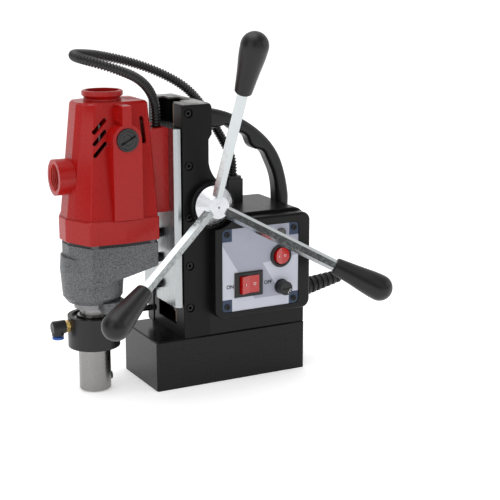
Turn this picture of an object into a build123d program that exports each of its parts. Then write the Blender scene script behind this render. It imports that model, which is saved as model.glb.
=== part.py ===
from build123d import *
import os
from math import acos, atan2, cos, degrees, pi, radians, sin, sqrt, tan

os.makedirs("parts", exist_ok=True)

# Magnetic drill press standing on its electromagnet. Millimetres, +Z up. The origin is the centre
# of the magnet's pole face. The drill motor is towards -X, the mains boot towards +X, and the
# feed handles and switch panel face the operator at -Y. The carriage is drawn at its lowest point.

# ---- clearances ---------------------------------------------------------------------------
RUN = 0.04          # shaft in its bore, radial
SEAT = 0.02         # ring or bush in its seat, radial
WAY = 0.15          # between the sliding faces of the dovetail
GAP = 0.4           # a loose piece from its neighbour
SCREW = 0.25        # screw in a clearance hole, radial

# ---- electromagnet ------------------------------------------------------------------------
BASE_L, BASE_W, BASE_H = 165.0, 82.0, 50.0
CORE_MARGIN = 35.0               # from each end of the foot to its core
CORE_L, CORE_W = BASE_L - 2 * CORE_MARGIN, 30.0
COIL_W = 14.0
COIL_H = 32.0
SEAL_H = 5.0
BASE_BOLT_R = 4.0
BASE_BOLT_Y = 8.0

# ---- column: a U in plan, open to the front, with dovetail ways -----------------------------
COL_SETBACK = 30.2
COL_FRONT = -BASE_L / 2 + COL_SETBACK
COL_DEPTH = 27.8
COL_REAR = COL_FRONT + COL_DEPTH
COL_BOLT_X = COL_FRONT + 14.3     # the pair of base bolts under the column
BOX_BOLT_X = 38.0                # the pair under the control box
COL_HEAD = 3.4                   # the top of the column reaches this much further back
COL_TOP = 281.0
COL_HALF = 39.5
COL_FLOOR = 10.0
WAY_MOUTH, WAY_ROOT, WAY_DEPTH = 21.0, 26.0, 10.3
RACK_POCKET_HALF = 14.0
COL_BACK_WALL = 7.0

# ---- slide, rack and feed -------------------------------------------------------------------
PLATE_T = 6.0
PLATE_GAP = 2.2
PLATE_HALF = 40.0
SLIDE_BOTTOM, SLIDE_H = 82.0, 175.0
PLATE_BACK = COL_FRONT - PLATE_GAP
PLATE_FRONT = PLATE_BACK - PLATE_T
GIB_T = 3.0
FEED_MODULE = 1.5
FEED_TEETH = 14
FEED_PITCH_R = FEED_MODULE * FEED_TEETH / 2
FEED_PITCHES = 21                # teeth of rack that pass from lowest to highest
FEED_X, FEED_Z = COL_REAR + 1.0, 182.0
BARREL_R = 23.0
BARREL_NEAR, BARREL_FAR = 6.5, 4.0
RACK_HALF = 7.0
RACK_DROP = 16.0
TOOTH_TIP, TOOTH_ROOT = 0.7, 0.95    # in modules
FEED_SHAFT_R = 8.0
HUB_R, HUB_NOSE_R, HUB_L = 19.7, 11.0, 12.5
ROD_FLAT = 10.0
ROD_TILT = 27.0
ROD_START, ROD_REACH = 12.0, 191.0
GRIP_L, GRIP_R, GRIP_NECK_R = 61.5, 12.9, 8.2

# ---- control box ----------------------------------------------------------------------------
BOX_REAR = BASE_L / 2 - 0.5
BOX_TOP = 170.0
BOX_WALL = 4.0
BOX_NEAR, BOX_FAR = -COL_HALF, 38.0
BULGE_OUT = 13.5
BULGE_BOTTOM, BULGE_TOP = 68.0, 167.0
LABEL_L, LABEL_H, LABEL_T = 85.0, 83.3, 1.5
LABEL_X, LABEL_Z = 25.7, 116.1       # centre of the panel plate
PANEL_Y = BOX_NEAR - BULGE_OUT

# ---- drill head -----------------------------------------------------------------------------
SPINDLE_REACH = 71.0
SPINDLE_X = PLATE_FRONT - SPINDLE_REACH
ARBOR_END = 1.0
ARBOR_R = 15.6
WELDON_R = 9.54
WELDON_DEPTH = 32.0
COLLAR_R, COLLAR_BOTTOM, COLLAR_TOP = 25.3, 45.0, 76.0
NECK_R, NECK_BOTTOM, NECK_TOP = 24.6, 83.0, 91.0
CASE_TOP = 149.5
RED_BOTTOM, BAND_TOP, RED_TOP = 153.0, 175.4, 284.0
BRUSH_Z = 251.0
HANDLE_BOSS_Z = 214.0
STAY_Y, STAY_Z, STAY_R = 18.8, 68.5, 3.0
BRACKET_SCREW_Z = 90.0
GEAR_1, TEETH_1A, TEETH_1B = 0.8, 12, 36     # armature pinion and idler wheel
GEAR_2, TEETH_2A, TEETH_2B = 1.0, 12, 40     # idler pinion and spindle wheel
MOTOR_OFFSET = 22.1
MOTOR_X = SPINDLE_X + MOTOR_OFFSET
CENTRES_1 = GEAR_1 * (TEETH_1A + TEETH_1B) / 2
CENTRES_2 = GEAR_2 * (TEETH_2A + TEETH_2B) / 2
IDLER_DX = (CENTRES_2**2 - CENTRES_1**2 + MOTOR_OFFSET**2) / (2 * MOTOR_OFFSET)
IDLER_Y = sqrt(CENTRES_2**2 - IDLER_DX**2)
IDLER_X = SPINDLE_X + IDLER_DX
HEAD_REAR = PLATE_FRONT - 15.5

# ---- conduit ---------------------------------------------------------------------------------
CONDUIT_R = 4.7
CONDUIT_IN = 6.0                 # length held in the gland and in the motor housing
CONDUIT_PLAY = 0.9               # its end leans a little in the round hole that holds it
CONDUIT_ROUTE = [
    (31, 20, 190), (33, 20, 211), (22, 20, 231), (7, 20, 256), (-14, 20, 285), (-40, 25, 302),
    (-72, 34, 315), (-106, 38, 323), (-126, 33, 325), (-138, 18, 326), (-142, 0, 325), (-133, -17, 322),
    (-115, -27, 316), (-90, -26, 306), (-73, -18, 290), (-67, -14, 270), (-68, -13, 251),
]


def save(builder, name):
    """Labels a finished sub-part and writes its STEP file."""
    builder.part.label = name
    export_step(builder.part, f"parts/{name}.step")


def across(x, z, y=0.0, x_dir=(1, 0, 0)):
    """A plane facing the operator (-Y) at depth y, with its local Y up."""
    return Plane(origin=(x, y, z), x_dir=x_dir, z_dir=(0, -1, 0))


def facing_front(x, y, z):
    """A plane facing -X whose local Y is up and local X is -Y."""
    return Plane(origin=(x, y, z), x_dir=(0, -1, 0), z_dir=(-1, 0, 0))


def side_plane(y):
    """The XZ plane at depth y, local X along +X and local Y up, facing -Y."""
    return Plane(origin=(0, y, 0), x_dir=(1, 0, 0), z_dir=(0, -1, 0))


def gear_outline(module, teeth, thin=0.12, start=0.0):
    """Points of an involute gear outline, 20 degree pressure angle, thinned for backlash."""
    pitch_r = module * teeth / 2
    base_r = pitch_r * cos(radians(20))
    tip_r = pitch_r + TOOTH_TIP * module
    root_r = pitch_r - TOOTH_ROOT * module
    steps = 6

    def involute(r):
        angle = acos(min(1.0, base_r / r))
        return tan(angle) - angle

    half = pi / (2 * teeth) - thin / (2 * pitch_r) + involute(pitch_r)
    low_r = max(base_r, root_r)
    radii = [low_r + (tip_r - low_r) * k / steps for k in range(steps + 1)]
    points = []
    for tooth in range(teeth):
        middle = start + 2 * pi * tooth / teeth
        left = [(r, middle - half + involute(r)) for r in radii]
        right = [(r, middle + half - involute(r)) for r in reversed(radii)]
        if root_r < base_r:
            left.insert(0, (root_r, middle - half))
            right.append((root_r, middle + half))
        points += [(r * cos(a), r * sin(a)) for r, a in left + right]
    return points


def gear_sketch(module, teeth, thin=0.12, start=0.0):
    """A gear's outline as a face centred on the sketch origin."""
    with BuildSketch(mode=Mode.PRIVATE) as outline:
        with BuildLine():
            Polyline(*gear_outline(module, teeth, thin, start), close=True)
        make_face()
    return outline.sketch


def rounded_polygon(points, radius):
    """A closed outline with every corner rounded."""
    with BuildSketch(mode=Mode.PRIVATE) as outline:
        with BuildLine():
            Polyline(*points, close=True)
        make_face()
        fillet(outline.vertices(), radius)
    return outline.sketch


def head_plan(front, rear, half, bow=3.0, nose=9.0, cheek=13.5):
    """Plan of the drill head: a bowed nose at -X and slightly bowed sides."""
    near = [
        (rear, -half),
        ((rear + front + cheek) / 2, -half - bow),
        (front + cheek, -half),
        (front + 3.6, -nose - 8.5),
        (front, -nose),
    ]
    return near + [(x, -y) for x, y in reversed(near)]


# =============================== electromagnet =================================================
POCKET_L, POCKET_W = CORE_L + 2 * COIL_W, CORE_W + 2 * COIL_W
with BuildPart() as magnet_body:
    Box(BASE_L, BASE_W, BASE_H, align=(Align.CENTER, Align.CENTER, Align.MIN))
    fillet(magnet_body.edges().filter_by(Axis.Z), 2.0)
    chamfer(magnet_body.faces().sort_by(Axis.Z)[-1].edges(), 1.2)
    with BuildSketch(Plane.XY):
        RectangleRounded(POCKET_L, POCKET_W, 8)
        RectangleRounded(CORE_L, CORE_W, 4, mode=Mode.SUBTRACT)
    extrude(amount=SEAL_H + COIL_H, mode=Mode.SUBTRACT)
    BOLT_SPOTS = [(x, y) for x in (COL_BOLT_X, BOX_BOLT_X) for y in (-BASE_BOLT_Y, BASE_BOLT_Y)]
    with Locations(*[(x, y, BASE_H) for x, y in BOLT_SPOTS]):
        Hole(BASE_BOLT_R + SCREW, depth=BASE_H)
    with BuildSketch(Plane.XY):
        with Locations(*BOLT_SPOTS):
            Circle(BASE_BOLT_R * 1.7)
    extrude(amount=10, mode=Mode.SUBTRACT)
save(magnet_body, "magnet_body")

with BuildPart() as magnet_coil:
    with BuildSketch(Plane.XY.offset(SEAL_H)):
        RectangleRounded(POCKET_L - GAP, POCKET_W - GAP, 8)
        RectangleRounded(CORE_L + GAP, CORE_W + GAP, 4, mode=Mode.SUBTRACT)
    extrude(amount=COIL_H)
save(magnet_coil, "magnet_coil")

with BuildPart() as magnet_seal:
    with BuildSketch(Plane.XY.offset(0.3)):
        RectangleRounded(POCKET_L, POCKET_W, 8)
        RectangleRounded(CORE_L, CORE_W, 4, mode=Mode.SUBTRACT)
    extrude(amount=SEAL_H - 0.3)
save(magnet_seal, "magnet_seal")

with BuildPart() as base_bolts:
    with Locations(*[(x, y, 1.5) for x, y in BOLT_SPOTS]):
        Cylinder(BASE_BOLT_R * 1.58, 8.5, align=(Align.CENTER, Align.CENTER, Align.MIN))
    with Locations(*[(x, y, 9.5) for x, y in BOLT_SPOTS]):
        Cylinder(BASE_BOLT_R, BASE_H - 4.5, align=(Align.CENTER, Align.CENTER, Align.MIN))
    with BuildSketch(Plane.XY.offset(1.5)):
        with Locations(*BOLT_SPOTS):
            RegularPolygon(BASE_BOLT_R * 0.75, 6, major_radius=False)
    extrude(amount=4.5, mode=Mode.SUBTRACT)
save(base_bolts, "base_bolts")
BOLT_END = 9.5 + BASE_H - 4.5

# =============================== column ========================================================
HEAD_REAR_X = COL_REAR + COL_HEAD
WAY_BOTTOM_X = COL_FRONT + WAY_DEPTH
RACK_BACK_X = COL_REAR - COL_BACK_WALL
GIB_SCREW_ZS = [80.3, 122.6, 170.7, 220.9, 271.3]
GIB_SCREW_X = COL_FRONT + 6.8
PINION_POCKET_R = FEED_PITCH_R + FEED_MODULE + 0.9
BUSH_NEAR_R = PINION_POCKET_R - 0.2
BUSH_FAR_R = 12.0
PINION_HALF = 8.0
HANDLE_SCREW_ZS = (255.0, 266.0)
with BuildPart() as column:
    with BuildSketch(side_plane(COL_HALF)):
        with BuildLine():
            l1 = Polyline((COL_REAR, BASE_H), (COL_FRONT, BASE_H), (COL_FRONT, COL_TOP),
                          (HEAD_REAR_X - 6, COL_TOP))
            l2 = TangentArc(l1 @ 1, (HEAD_REAR_X, COL_TOP - 6), tangent=(1, 0))
            l3 = Polyline(l2 @ 1, (HEAD_REAR_X, 250), (COL_REAR, 245), (COL_REAR, 223))
            l4 = ThreePointArc(l3 @ 1, (COL_REAR + 3.2, 212.5), (FEED_X + 10.5, FEED_Z + 20.4))
            Polyline(l4 @ 1, (FEED_X + 9, FEED_Z), (COL_REAR, FEED_Z - 16), l1 @ 0)
        make_face()
    extrude(amount=2 * COL_HALF)
    fillet(column.edges().filter_by(Axis.Z).group_by(Axis.X)[0], 1.2)
    with BuildSketch(side_plane(BARREL_FAR + COL_HALF)):
        with Locations((FEED_X, FEED_Z)):
            Circle(BARREL_R)
    extrude(amount=2 * COL_HALF + BARREL_FAR + BARREL_NEAR)
    # the channel for the slide: dovetail ways in front, the rack's pocket behind
    with BuildSketch(Plane.XY.offset(BASE_H + COL_FLOOR)):
        Polygon((COL_FRONT, -WAY_MOUTH), (WAY_BOTTOM_X, -WAY_ROOT), (WAY_BOTTOM_X, WAY_ROOT),
                (COL_FRONT, WAY_MOUTH), align=None)
        Polygon((WAY_BOTTOM_X - 1, -RACK_POCKET_HALF), (RACK_BACK_X, -RACK_POCKET_HALF),
                (RACK_BACK_X, RACK_POCKET_HALF), (WAY_BOTTOM_X - 1, RACK_POCKET_HALF), align=None)
    extrude(amount=COL_TOP, mode=Mode.SUBTRACT)
    # bores of the feed shaft, its bushes and the pinion
    with BuildSketch(side_plane(-COL_HALF - BARREL_NEAR)):
        with Locations((FEED_X, FEED_Z)):
            Circle(PINION_POCKET_R)
    extrude(amount=-(COL_HALF + BARREL_NEAR + PINION_HALF + 1), mode=Mode.SUBTRACT)
    with BuildSketch(side_plane(-COL_HALF - BARREL_NEAR)):
        with Locations((FEED_X, FEED_Z)):
            Circle(BUSH_FAR_R + SEAT)
    extrude(amount=-(2 * COL_HALF + BARREL_NEAR), mode=Mode.SUBTRACT)
    # tapped holes for the gib screws, each in a shallow recess
    for z in GIB_SCREW_ZS:
        with BuildSketch(across(GIB_SCREW_X, z, -COL_HALF)):
            Circle(4.6)
        extrude(amount=-2.2, mode=Mode.SUBTRACT)
        with BuildSketch(across(GIB_SCREW_X, z, -COL_HALF)):
            Circle(3.0 + SEAT)
        extrude(amount=-COL_HALF + WAY_MOUTH - 3, mode=Mode.SUBTRACT)
    # counterbored holes for the screws of the carry handle
    for z in HANDLE_SCREW_ZS:
        with BuildSketch(facing_front(RACK_BACK_X, 0, z)):
            Circle(5.0)
        extrude(amount=-4.2, mode=Mode.SUBTRACT)
        with BuildSketch(facing_front(RACK_BACK_X, 0, z)):
            Circle(2.5 + SCREW)
        extrude(amount=-30, mode=Mode.SUBTRACT)
    with BuildSketch(Plane.XY.offset(BASE_H)):
        with Locations(*[(COL_BOLT_X, y) for y in (-BASE_BOLT_Y, BASE_BOLT_Y)]):
            Circle(BASE_BOLT_R + SEAT)
    extrude(amount=BOLT_END - BASE_H + 1, mode=Mode.SUBTRACT)
save(column, "column")


def way_y(x, offset):
    """Half width of the near dovetail flank at x, moved in by offset."""
    return WAY_MOUTH + (WAY_ROOT - WAY_MOUTH) * (x - COL_FRONT) / WAY_DEPTH - offset


with BuildPart() as gib_strip:
    with BuildSketch(Plane.XY.offset(BASE_H + COL_FLOOR + 2)):
        front_x, back_x = COL_FRONT + 0.5, WAY_BOTTOM_X - 0.4
        Polygon((front_x, -way_y(front_x, 0.05)), (back_x, -way_y(back_x, 0.05)),
                (back_x, -way_y(back_x, GIB_T)), (front_x, -way_y(front_x, GIB_T)), align=None)
    extrude(amount=COL_TOP - BASE_H - COL_FLOOR - 4)
save(gib_strip, "gib_strip")

GIB_SCREW_TIP = -way_y(GIB_SCREW_X, 0) - 2.0
with BuildPart() as gib_screws:
    for z in GIB_SCREW_ZS:
        with BuildSketch(across(GIB_SCREW_X, z, GIB_SCREW_TIP)):
            Circle(3.0)
        extrude(amount=COL_HALF + GIB_SCREW_TIP - 0.6)
        with BuildSketch(across(GIB_SCREW_X, z, GIB_SCREW_TIP + 1.2)):
            Circle(1.4)
        extrude(amount=2.2)
        with BuildSketch(across(GIB_SCREW_X, z, -COL_HALF + 0.6)):
            RegularPolygon(1.6, 6, major_radius=False)
        extrude(amount=-4, mode=Mode.SUBTRACT)
save(gib_screws, "gib_screws")

with BuildPart() as feed_bushes:
    with BuildSketch(side_plane(-COL_HALF - BARREL_NEAR + 2)):
        with Locations((FEED_X, FEED_Z)):
            Circle(BUSH_NEAR_R + 0.18)
            Circle(FEED_SHAFT_R + RUN, mode=Mode.SUBTRACT)
    extrude(amount=-(COL_HALF + BARREL_NEAR - 2 - PINION_HALF - 1.0))
    with BuildSketch(side_plane(PINION_HALF + 1.2)):
        with Locations((FEED_X, FEED_Z)):
            Circle(BUSH_FAR_R)
            Circle(FEED_SHAFT_R + RUN, mode=Mode.SUBTRACT)
    extrude(amount=-(COL_HALF - PINION_HALF - 1.2))
save(feed_bushes, "feed_bushes")

# =============================== slide and rack ================================================
SLIDE_NEAR = WAY_MOUTH - GIB_T - WAY
RACK_FACE_X = FEED_X - FEED_PITCH_R
RACK_ROOT_X = RACK_FACE_X - TOOTH_ROOT * FEED_MODULE
SLIDE_BACK = WAY_BOTTOM_X - 0.4
SLOPE = (WAY_ROOT - WAY_MOUTH) / WAY_DEPTH
RACK_SCREW_ZS = [98.5, 125.0, 150.0]
MOUNT_BOLTS = [(y, z) for y in (-13.5, 13.5) for z in (192.0, 243.0)]
with BuildPart() as slide:
    with BuildSketch(Plane.XY.offset(SLIDE_BOTTOM)):
        tail = (SLIDE_BACK - COL_FRONT) * SLOPE
        Polygon((PLATE_FRONT, -PLATE_HALF + 3), (PLATE_FRONT + 3, -PLATE_HALF), (PLATE_BACK, -PLATE_HALF),
                (PLATE_BACK, -SLIDE_NEAR), (COL_FRONT, -SLIDE_NEAR), (SLIDE_BACK, -SLIDE_NEAR - tail),
                (SLIDE_BACK, WAY_MOUTH - WAY + tail), (COL_FRONT, WAY_MOUTH - WAY),
                (PLATE_BACK, WAY_MOUTH - WAY), (PLATE_BACK, PLATE_HALF), (PLATE_FRONT + 3, PLATE_HALF),
                (PLATE_FRONT, PLATE_HALF - 3), align=None)
    extrude(amount=SLIDE_H)
    for z in RACK_SCREW_ZS:
        with BuildSketch(facing_front(PLATE_FRONT, 0, z)):
            Circle(3.0 + SCREW)
        extrude(amount=-30, mode=Mode.SUBTRACT)
    for y, z in MOUNT_BOLTS:
        with BuildSketch(facing_front(PLATE_FRONT, y, z)):
            Circle(3.5 + SCREW)
        extrude(amount=-30, mode=Mode.SUBTRACT)
        with BuildSketch(facing_front(SLIDE_BACK, y, z)):
            Circle(5.8)
        extrude(amount=8, mode=Mode.SUBTRACT)
    with BuildSketch(facing_front(PLATE_FRONT, STAY_Y, BRACKET_SCREW_Z)):
        Circle(2.5 + SEAT)
    extrude(amount=-5.5, mode=Mode.SUBTRACT)
save(slide, "slide")

RACK_PITCH = pi * FEED_MODULE
RACK_BOTTOM = SLIDE_BOTTOM - RACK_DROP
RACK_TOP = SLIDE_BOTTOM + SLIDE_H - 2
FLANK = tan(radians(20)) * FEED_MODULE
RACK_THIN = 0.12
with BuildPart() as rack:
    with BuildSketch(side_plane(RACK_HALF)):
        with BuildLine():
            points = [(SLIDE_BACK, RACK_BOTTOM), (RACK_ROOT_X, RACK_BOTTOM)]
            first = int((RACK_BOTTOM + 3 - FEED_Z) / RACK_PITCH) - 1
            last = int((RACK_TOP - 3 - FEED_Z) / RACK_PITCH) - 1
            for k in range(first, last + 1):
                # a rack tooth stands opposite each gap of the pinion
                z = FEED_Z + (k + 0.5) * RACK_PITCH
                root = RACK_PITCH / 4 - RACK_THIN / 2 + FLANK * TOOTH_ROOT
                tip = RACK_PITCH / 4 - RACK_THIN / 2 - FLANK * TOOTH_TIP
                tip_x = RACK_FACE_X + TOOTH_TIP * FEED_MODULE
                points += [(RACK_ROOT_X, z - root), (tip_x, z - tip), (tip_x, z + tip), (RACK_ROOT_X, z + root)]
            points += [(RACK_ROOT_X, RACK_TOP), (SLIDE_BACK, RACK_TOP)]
            Polyline(*points, close=True)
        make_face()
    extrude(amount=2 * RACK_HALF)
    for z in RACK_SCREW_ZS:
        with BuildSketch(facing_front(SLIDE_BACK, 0, z)):
            Circle(3.0 + SEAT)
        extrude(amount=-5, mode=Mode.SUBTRACT)
save(rack, "rack")

with BuildPart() as rack_screws:
    for z in RACK_SCREW_ZS:
        with BuildSketch(facing_front(PLATE_FRONT, 0, z)):
            Circle(4.8)
        extrude(amount=5)
        with BuildSketch(facing_front(PLATE_FRONT, 0, z)):
            Circle(3.0)
        extrude(amount=-(SLIDE_BACK - PLATE_FRONT + 4.5))
        with BuildSketch(facing_front(PLATE_FRONT - 5, 0, z)):
            RegularPolygon(2.5, 6, major_radius=False)
        extrude(amount=-3, mode=Mode.SUBTRACT)
save(rack_screws, "rack_screws")

with BuildPart() as mount_bolts:
    for y, z in MOUNT_BOLTS:
        with BuildSketch(facing_front(SLIDE_BACK - 8, y, z)):
            Circle(5.3)
        extrude(amount=-7)
        with BuildSketch(facing_front(SLIDE_BACK - 8, y, z)):
            Circle(3.5)
        extrude(amount=(SLIDE_BACK - 8 - PLATE_FRONT) + 11)
save(mount_bolts, "mount_bolts")

# =============================== feed shaft, hub, rods and grips ================================
SHAFT_FRONT = -COL_HALF - BARREL_NEAR - 9.0
HUB_BACK = -COL_HALF - BARREL_NEAR - 0.5
with BuildPart() as feed_shaft:
    with BuildSketch(side_plane(PINION_HALF)):
        # one tooth points at the rack, which has a gap level with the shaft
        with Locations((FEED_X, FEED_Z)):
            add(gear_sketch(FEED_MODULE, FEED_TEETH, start=pi))
    extrude(amount=2 * PINION_HALF)
    with BuildSketch(side_plane(COL_HALF - 1.5)):
        with Locations((FEED_X, FEED_Z)):
            Circle(FEED_SHAFT_R)
    extrude(amount=COL_HALF - 1.5 - SHAFT_FRONT)
save(feed_shaft, "feed_shaft")

HUB_CENTRE = Vector(FEED_X, -50, FEED_Z)


def rod_plane(turn, along):
    """The plane square to a feed rod, at a distance along it from the hub's centre."""
    out = Vector(sin(radians(turn)), 0, cos(radians(turn)))
    axis = out * cos(radians(ROD_TILT)) + Vector(0, -sin(radians(ROD_TILT)), 0)
    return Plane(origin=HUB_CENTRE + axis * along, x_dir=Vector(0, 1, 0).cross(out), z_dir=axis)


ROD_TURNS = (0, 120, 240)
with BuildPart() as feed_hub:
    with BuildSketch(side_plane(HUB_BACK)):
        with Locations((FEED_X, FEED_Z)):
            Circle(HUB_R)
    extrude(amount=2)
    with BuildSketch(side_plane(HUB_BACK - 2)):
        with Locations((FEED_X, FEED_Z)):
            Circle(HUB_R)
    with BuildSketch(side_plane(HUB_BACK - HUB_L)):
        with Locations((FEED_X, FEED_Z)):
            Circle(HUB_NOSE_R)
    loft()
    with BuildSketch(side_plane(HUB_BACK)):
        with Locations((FEED_X, FEED_Z)):
            Circle(FEED_SHAFT_R + SEAT)
    extrude(amount=HUB_BACK - SHAFT_FRONT + 0.2, mode=Mode.SUBTRACT)
    with BuildSketch(side_plane(HUB_BACK - HUB_L)):
        with Locations((FEED_X, FEED_Z)):
            Circle(1.1)
    extrude(amount=-2.5, mode=Mode.SUBTRACT)
    for turn in ROD_TURNS:
        with BuildSketch(rod_plane(turn, ROD_START)):
            RegularPolygon(ROD_FLAT / 2 + SEAT, 6, major_radius=False)
        extrude(amount=30, mode=Mode.SUBTRACT)
save(feed_hub, "feed_hub")

with BuildPart() as feed_rods:
    for turn in ROD_TURNS:
        with BuildSketch(rod_plane(turn, ROD_START)):
            RegularPolygon(ROD_FLAT / 2, 6, major_radius=False)
        extrude(amount=ROD_REACH - 16 - ROD_START)
save(feed_rods, "feed_rods")

with BuildPart() as feed_grips:
    for turn in ROD_TURNS:
        start = rod_plane(turn, ROD_REACH - GRIP_L)
        with BuildSketch(Plane(origin=start.origin, x_dir=start.x_dir, z_dir=start.x_dir.cross(start.z_dir))):
            bulb_z = GRIP_L - GRIP_R
            with BuildLine():
                g1 = Line((0, 0), (GRIP_NECK_R - 1, 0))
                g2 = Line(g1 @ 1, (GRIP_NECK_R, 1))
                g3 = Spline(g2 @ 1, (GRIP_NECK_R + 2.4, 24), (GRIP_R, bulb_z),
                            tangents=((0.12, 1), (0, 1)))
                g4 = ThreePointArc(g3 @ 1, (GRIP_R * sqrt(0.5), bulb_z + GRIP_R * sqrt(0.5)), (0, GRIP_L))
                Line(g4 @ 1, g1 @ 0)
            make_face()
        revolve(axis=Axis(start.origin, start.z_dir))
    for turn in ROD_TURNS:
        with BuildSketch(rod_plane(turn, ROD_REACH - GRIP_L)):
            RegularPolygon(ROD_FLAT / 2 + SEAT, 6, major_radius=False)
        extrude(amount=GRIP_L - 16, mode=Mode.SUBTRACT)
save(feed_grips, "feed_grips")

# =============================== control box ====================================================
BOX_CORNER = 13.0
BULGE_L = BOX_REAR - COL_REAR - 0.6
BULGE_H = BULGE_TOP - BULGE_BOTTOM
BULGE_MID_Z = (BULGE_TOP + BULGE_BOTTOM) / 2
BULGE_MID_X = BOX_REAR - 0.3 - BULGE_L / 2
PANEL_SCREWS = [(LABEL_X + sx * (LABEL_L / 2 - 5.2), LABEL_Z + sz * (LABEL_H / 2 - 5.2))
                for sx in (-1, 1) for sz in (-1, 1)]
MAIN_X, MAIN_Z, MAIN_L, MAIN_H = 11.8, 100.7, 31.0, 25.0
ROUND_X, ROUND_Z, ROUND_R = 48.0, 125.3, 11.7
FUSE_X, FUSE_Z, FUSE_R = 48.9, 93.6, 7.6
LAMP_X, LAMP_Z, LAMP_R = 48.5, 148.5, 5.0
GLAND_X, GLAND_Y, GLAND_L, GLAND_W, GLAND_H = 31.0, 20.0, 18.0, 16.0, 26.0
BOOT_Z, BOOT_Y = 78.0, -21.0
BOOT_R = 8.3
FOOT_SCREW_X, FOOT_SCREW_Z = BOX_REAR - 10.0, BOX_TOP - 6.5


def box_outline(inset=0.0):
    """Side outline of the control box, its upper rear corner rounded."""
    low, high = BASE_H + inset, BOX_TOP - inset
    front, rear = COL_REAR + inset, BOX_REAR - inset
    radius = BOX_CORNER - inset
    with BuildSketch(mode=Mode.PRIVATE) as outline:
        with BuildLine():
            b1 = Polyline((rear, high - radius), (rear, low), (front, low), (front, high), (rear - radius, high))
            TangentArc(b1 @ 1, b1 @ 0, tangent=(1, 0))
        make_face()
    return outline.sketch


with BuildPart() as control_box:
    with BuildSketch(side_plane(BOX_FAR)):
        add(box_outline())
    extrude(amount=BOX_FAR - BOX_NEAR)
    with BuildSketch(side_plane(BOX_NEAR + 1)):
        with Locations((BULGE_MID_X, BULGE_MID_Z)):
            RectangleRounded(BULGE_L, BULGE_H, 9)
    extrude(amount=BULGE_OUT + 1)
    fillet(control_box.faces().sort_by(Axis.Y)[0].outer_wire().edges(), 2.5)
    with BuildSketch(side_plane(BOX_FAR - BOX_WALL)):
        add(box_outline(BOX_WALL))
    extrude(amount=BOX_FAR - BOX_NEAR - 2 * BOX_WALL, mode=Mode.SUBTRACT)
    # the bulge is hollow behind the panel plate, which lies in a shallow recess
    with BuildSketch(side_plane(PANEL_Y)):
        with Locations((LABEL_X, LABEL_Z)):
            RectangleRounded(LABEL_L + 2 * GAP, LABEL_H + 2 * GAP, 5)
    extrude(amount=-(LABEL_T + 0.8), mode=Mode.SUBTRACT)
    with BuildSketch(side_plane(PANEL_Y)):
        with Locations((LABEL_X, LABEL_Z)):
            Rectangle(LABEL_L - 21, LABEL_H - 6)
            Rectangle(LABEL_L - 6, LABEL_H - 21)
    extrude(amount=-(BULGE_OUT + BOX_WALL + 2), mode=Mode.SUBTRACT)
    # hollow of the cylinder that carries the feed shaft
    with BuildSketch(side_plane(BOX_FAR + 1)):
        with Locations((FEED_X, FEED_Z)):
            Circle(BARREL_R + GAP)
    extrude(amount=BOX_FAR - PANEL_Y + 2, mode=Mode.SUBTRACT)
    for x, z in PANEL_SCREWS:
        with BuildSketch(across(x, z, PANEL_Y)):
            Circle(1.5)
        extrude(amount=-10, mode=Mode.SUBTRACT)
    # seat of the handle's foot screw in the rounded corner
    with BuildSketch(Plane.XY.offset(FOOT_SCREW_Z)):
        with Locations((FOOT_SCREW_X, 0)):
            Circle(5.6)
    extrude(amount=3.2)
    with BuildSketch(Plane.XY.offset(FOOT_SCREW_Z)):
        with Locations((FOOT_SCREW_X, 0)):
            Circle(5.0)
    extrude(amount=-8, mode=Mode.SUBTRACT)
    with BuildSketch(Plane.XY.offset(FOOT_SCREW_Z - 1)):
        with Locations((FOOT_SCREW_X, 0)):
            Circle(2.5 + SCREW)
    extrude(amount=10, mode=Mode.SUBTRACT)
    # holes for the conduit gland, the mains boot and the base bolts
    with BuildSketch(Plane.XY.offset(BOX_TOP - BOX_WALL - 1)):
        with Locations((GLAND_X, GLAND_Y)):
            Circle(6.0)
    extrude(amount=BOX_WALL + 2, mode=Mode.SUBTRACT)
    with BuildSketch(Plane(origin=(BOX_REAR + 1, BOOT_Y, BOOT_Z), x_dir=(0, 1, 0), z_dir=(1, 0, 0))):
        Circle(7.0)
    extrude(amount=-BOX_WALL - 2, mode=Mode.SUBTRACT)
    with BuildSketch(Plane.XY.offset(BASE_H)):
        with Locations(*[(BOX_BOLT_X, y) for y in (-BASE_BOLT_Y, BASE_BOLT_Y)]):
            Circle(BASE_BOLT_R + SEAT)
    extrude(amount=BOX_WALL, mode=Mode.SUBTRACT)
    # posts for the circuit board
    for x in (20, 60):
        for z in (85, 135):
            with BuildSketch(across(x, z, BOX_FAR - BOX_WALL)):
                Circle(3)
            extrude(amount=8)
save(control_box, "control_box")

with BuildPart() as circuit_board:
    with BuildSketch(side_plane(BOX_FAR - BOX_WALL - 8)):
        with Locations((40, 110)):
            Rectangle(56, 66)
    extrude(amount=1.6)
    for x, z, length, height, deep in ((30, 100, 14, 12, 12), (52, 124, 10, 10, 16), (28, 128, 16, 8, 9)):
        with BuildSketch(side_plane(BOX_FAR - BOX_WALL - 9.6)):
            with Locations((x, z)):
                Rectangle(length, height)
        extrude(amount=deep)
save(circuit_board, "circuit_board")

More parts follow.
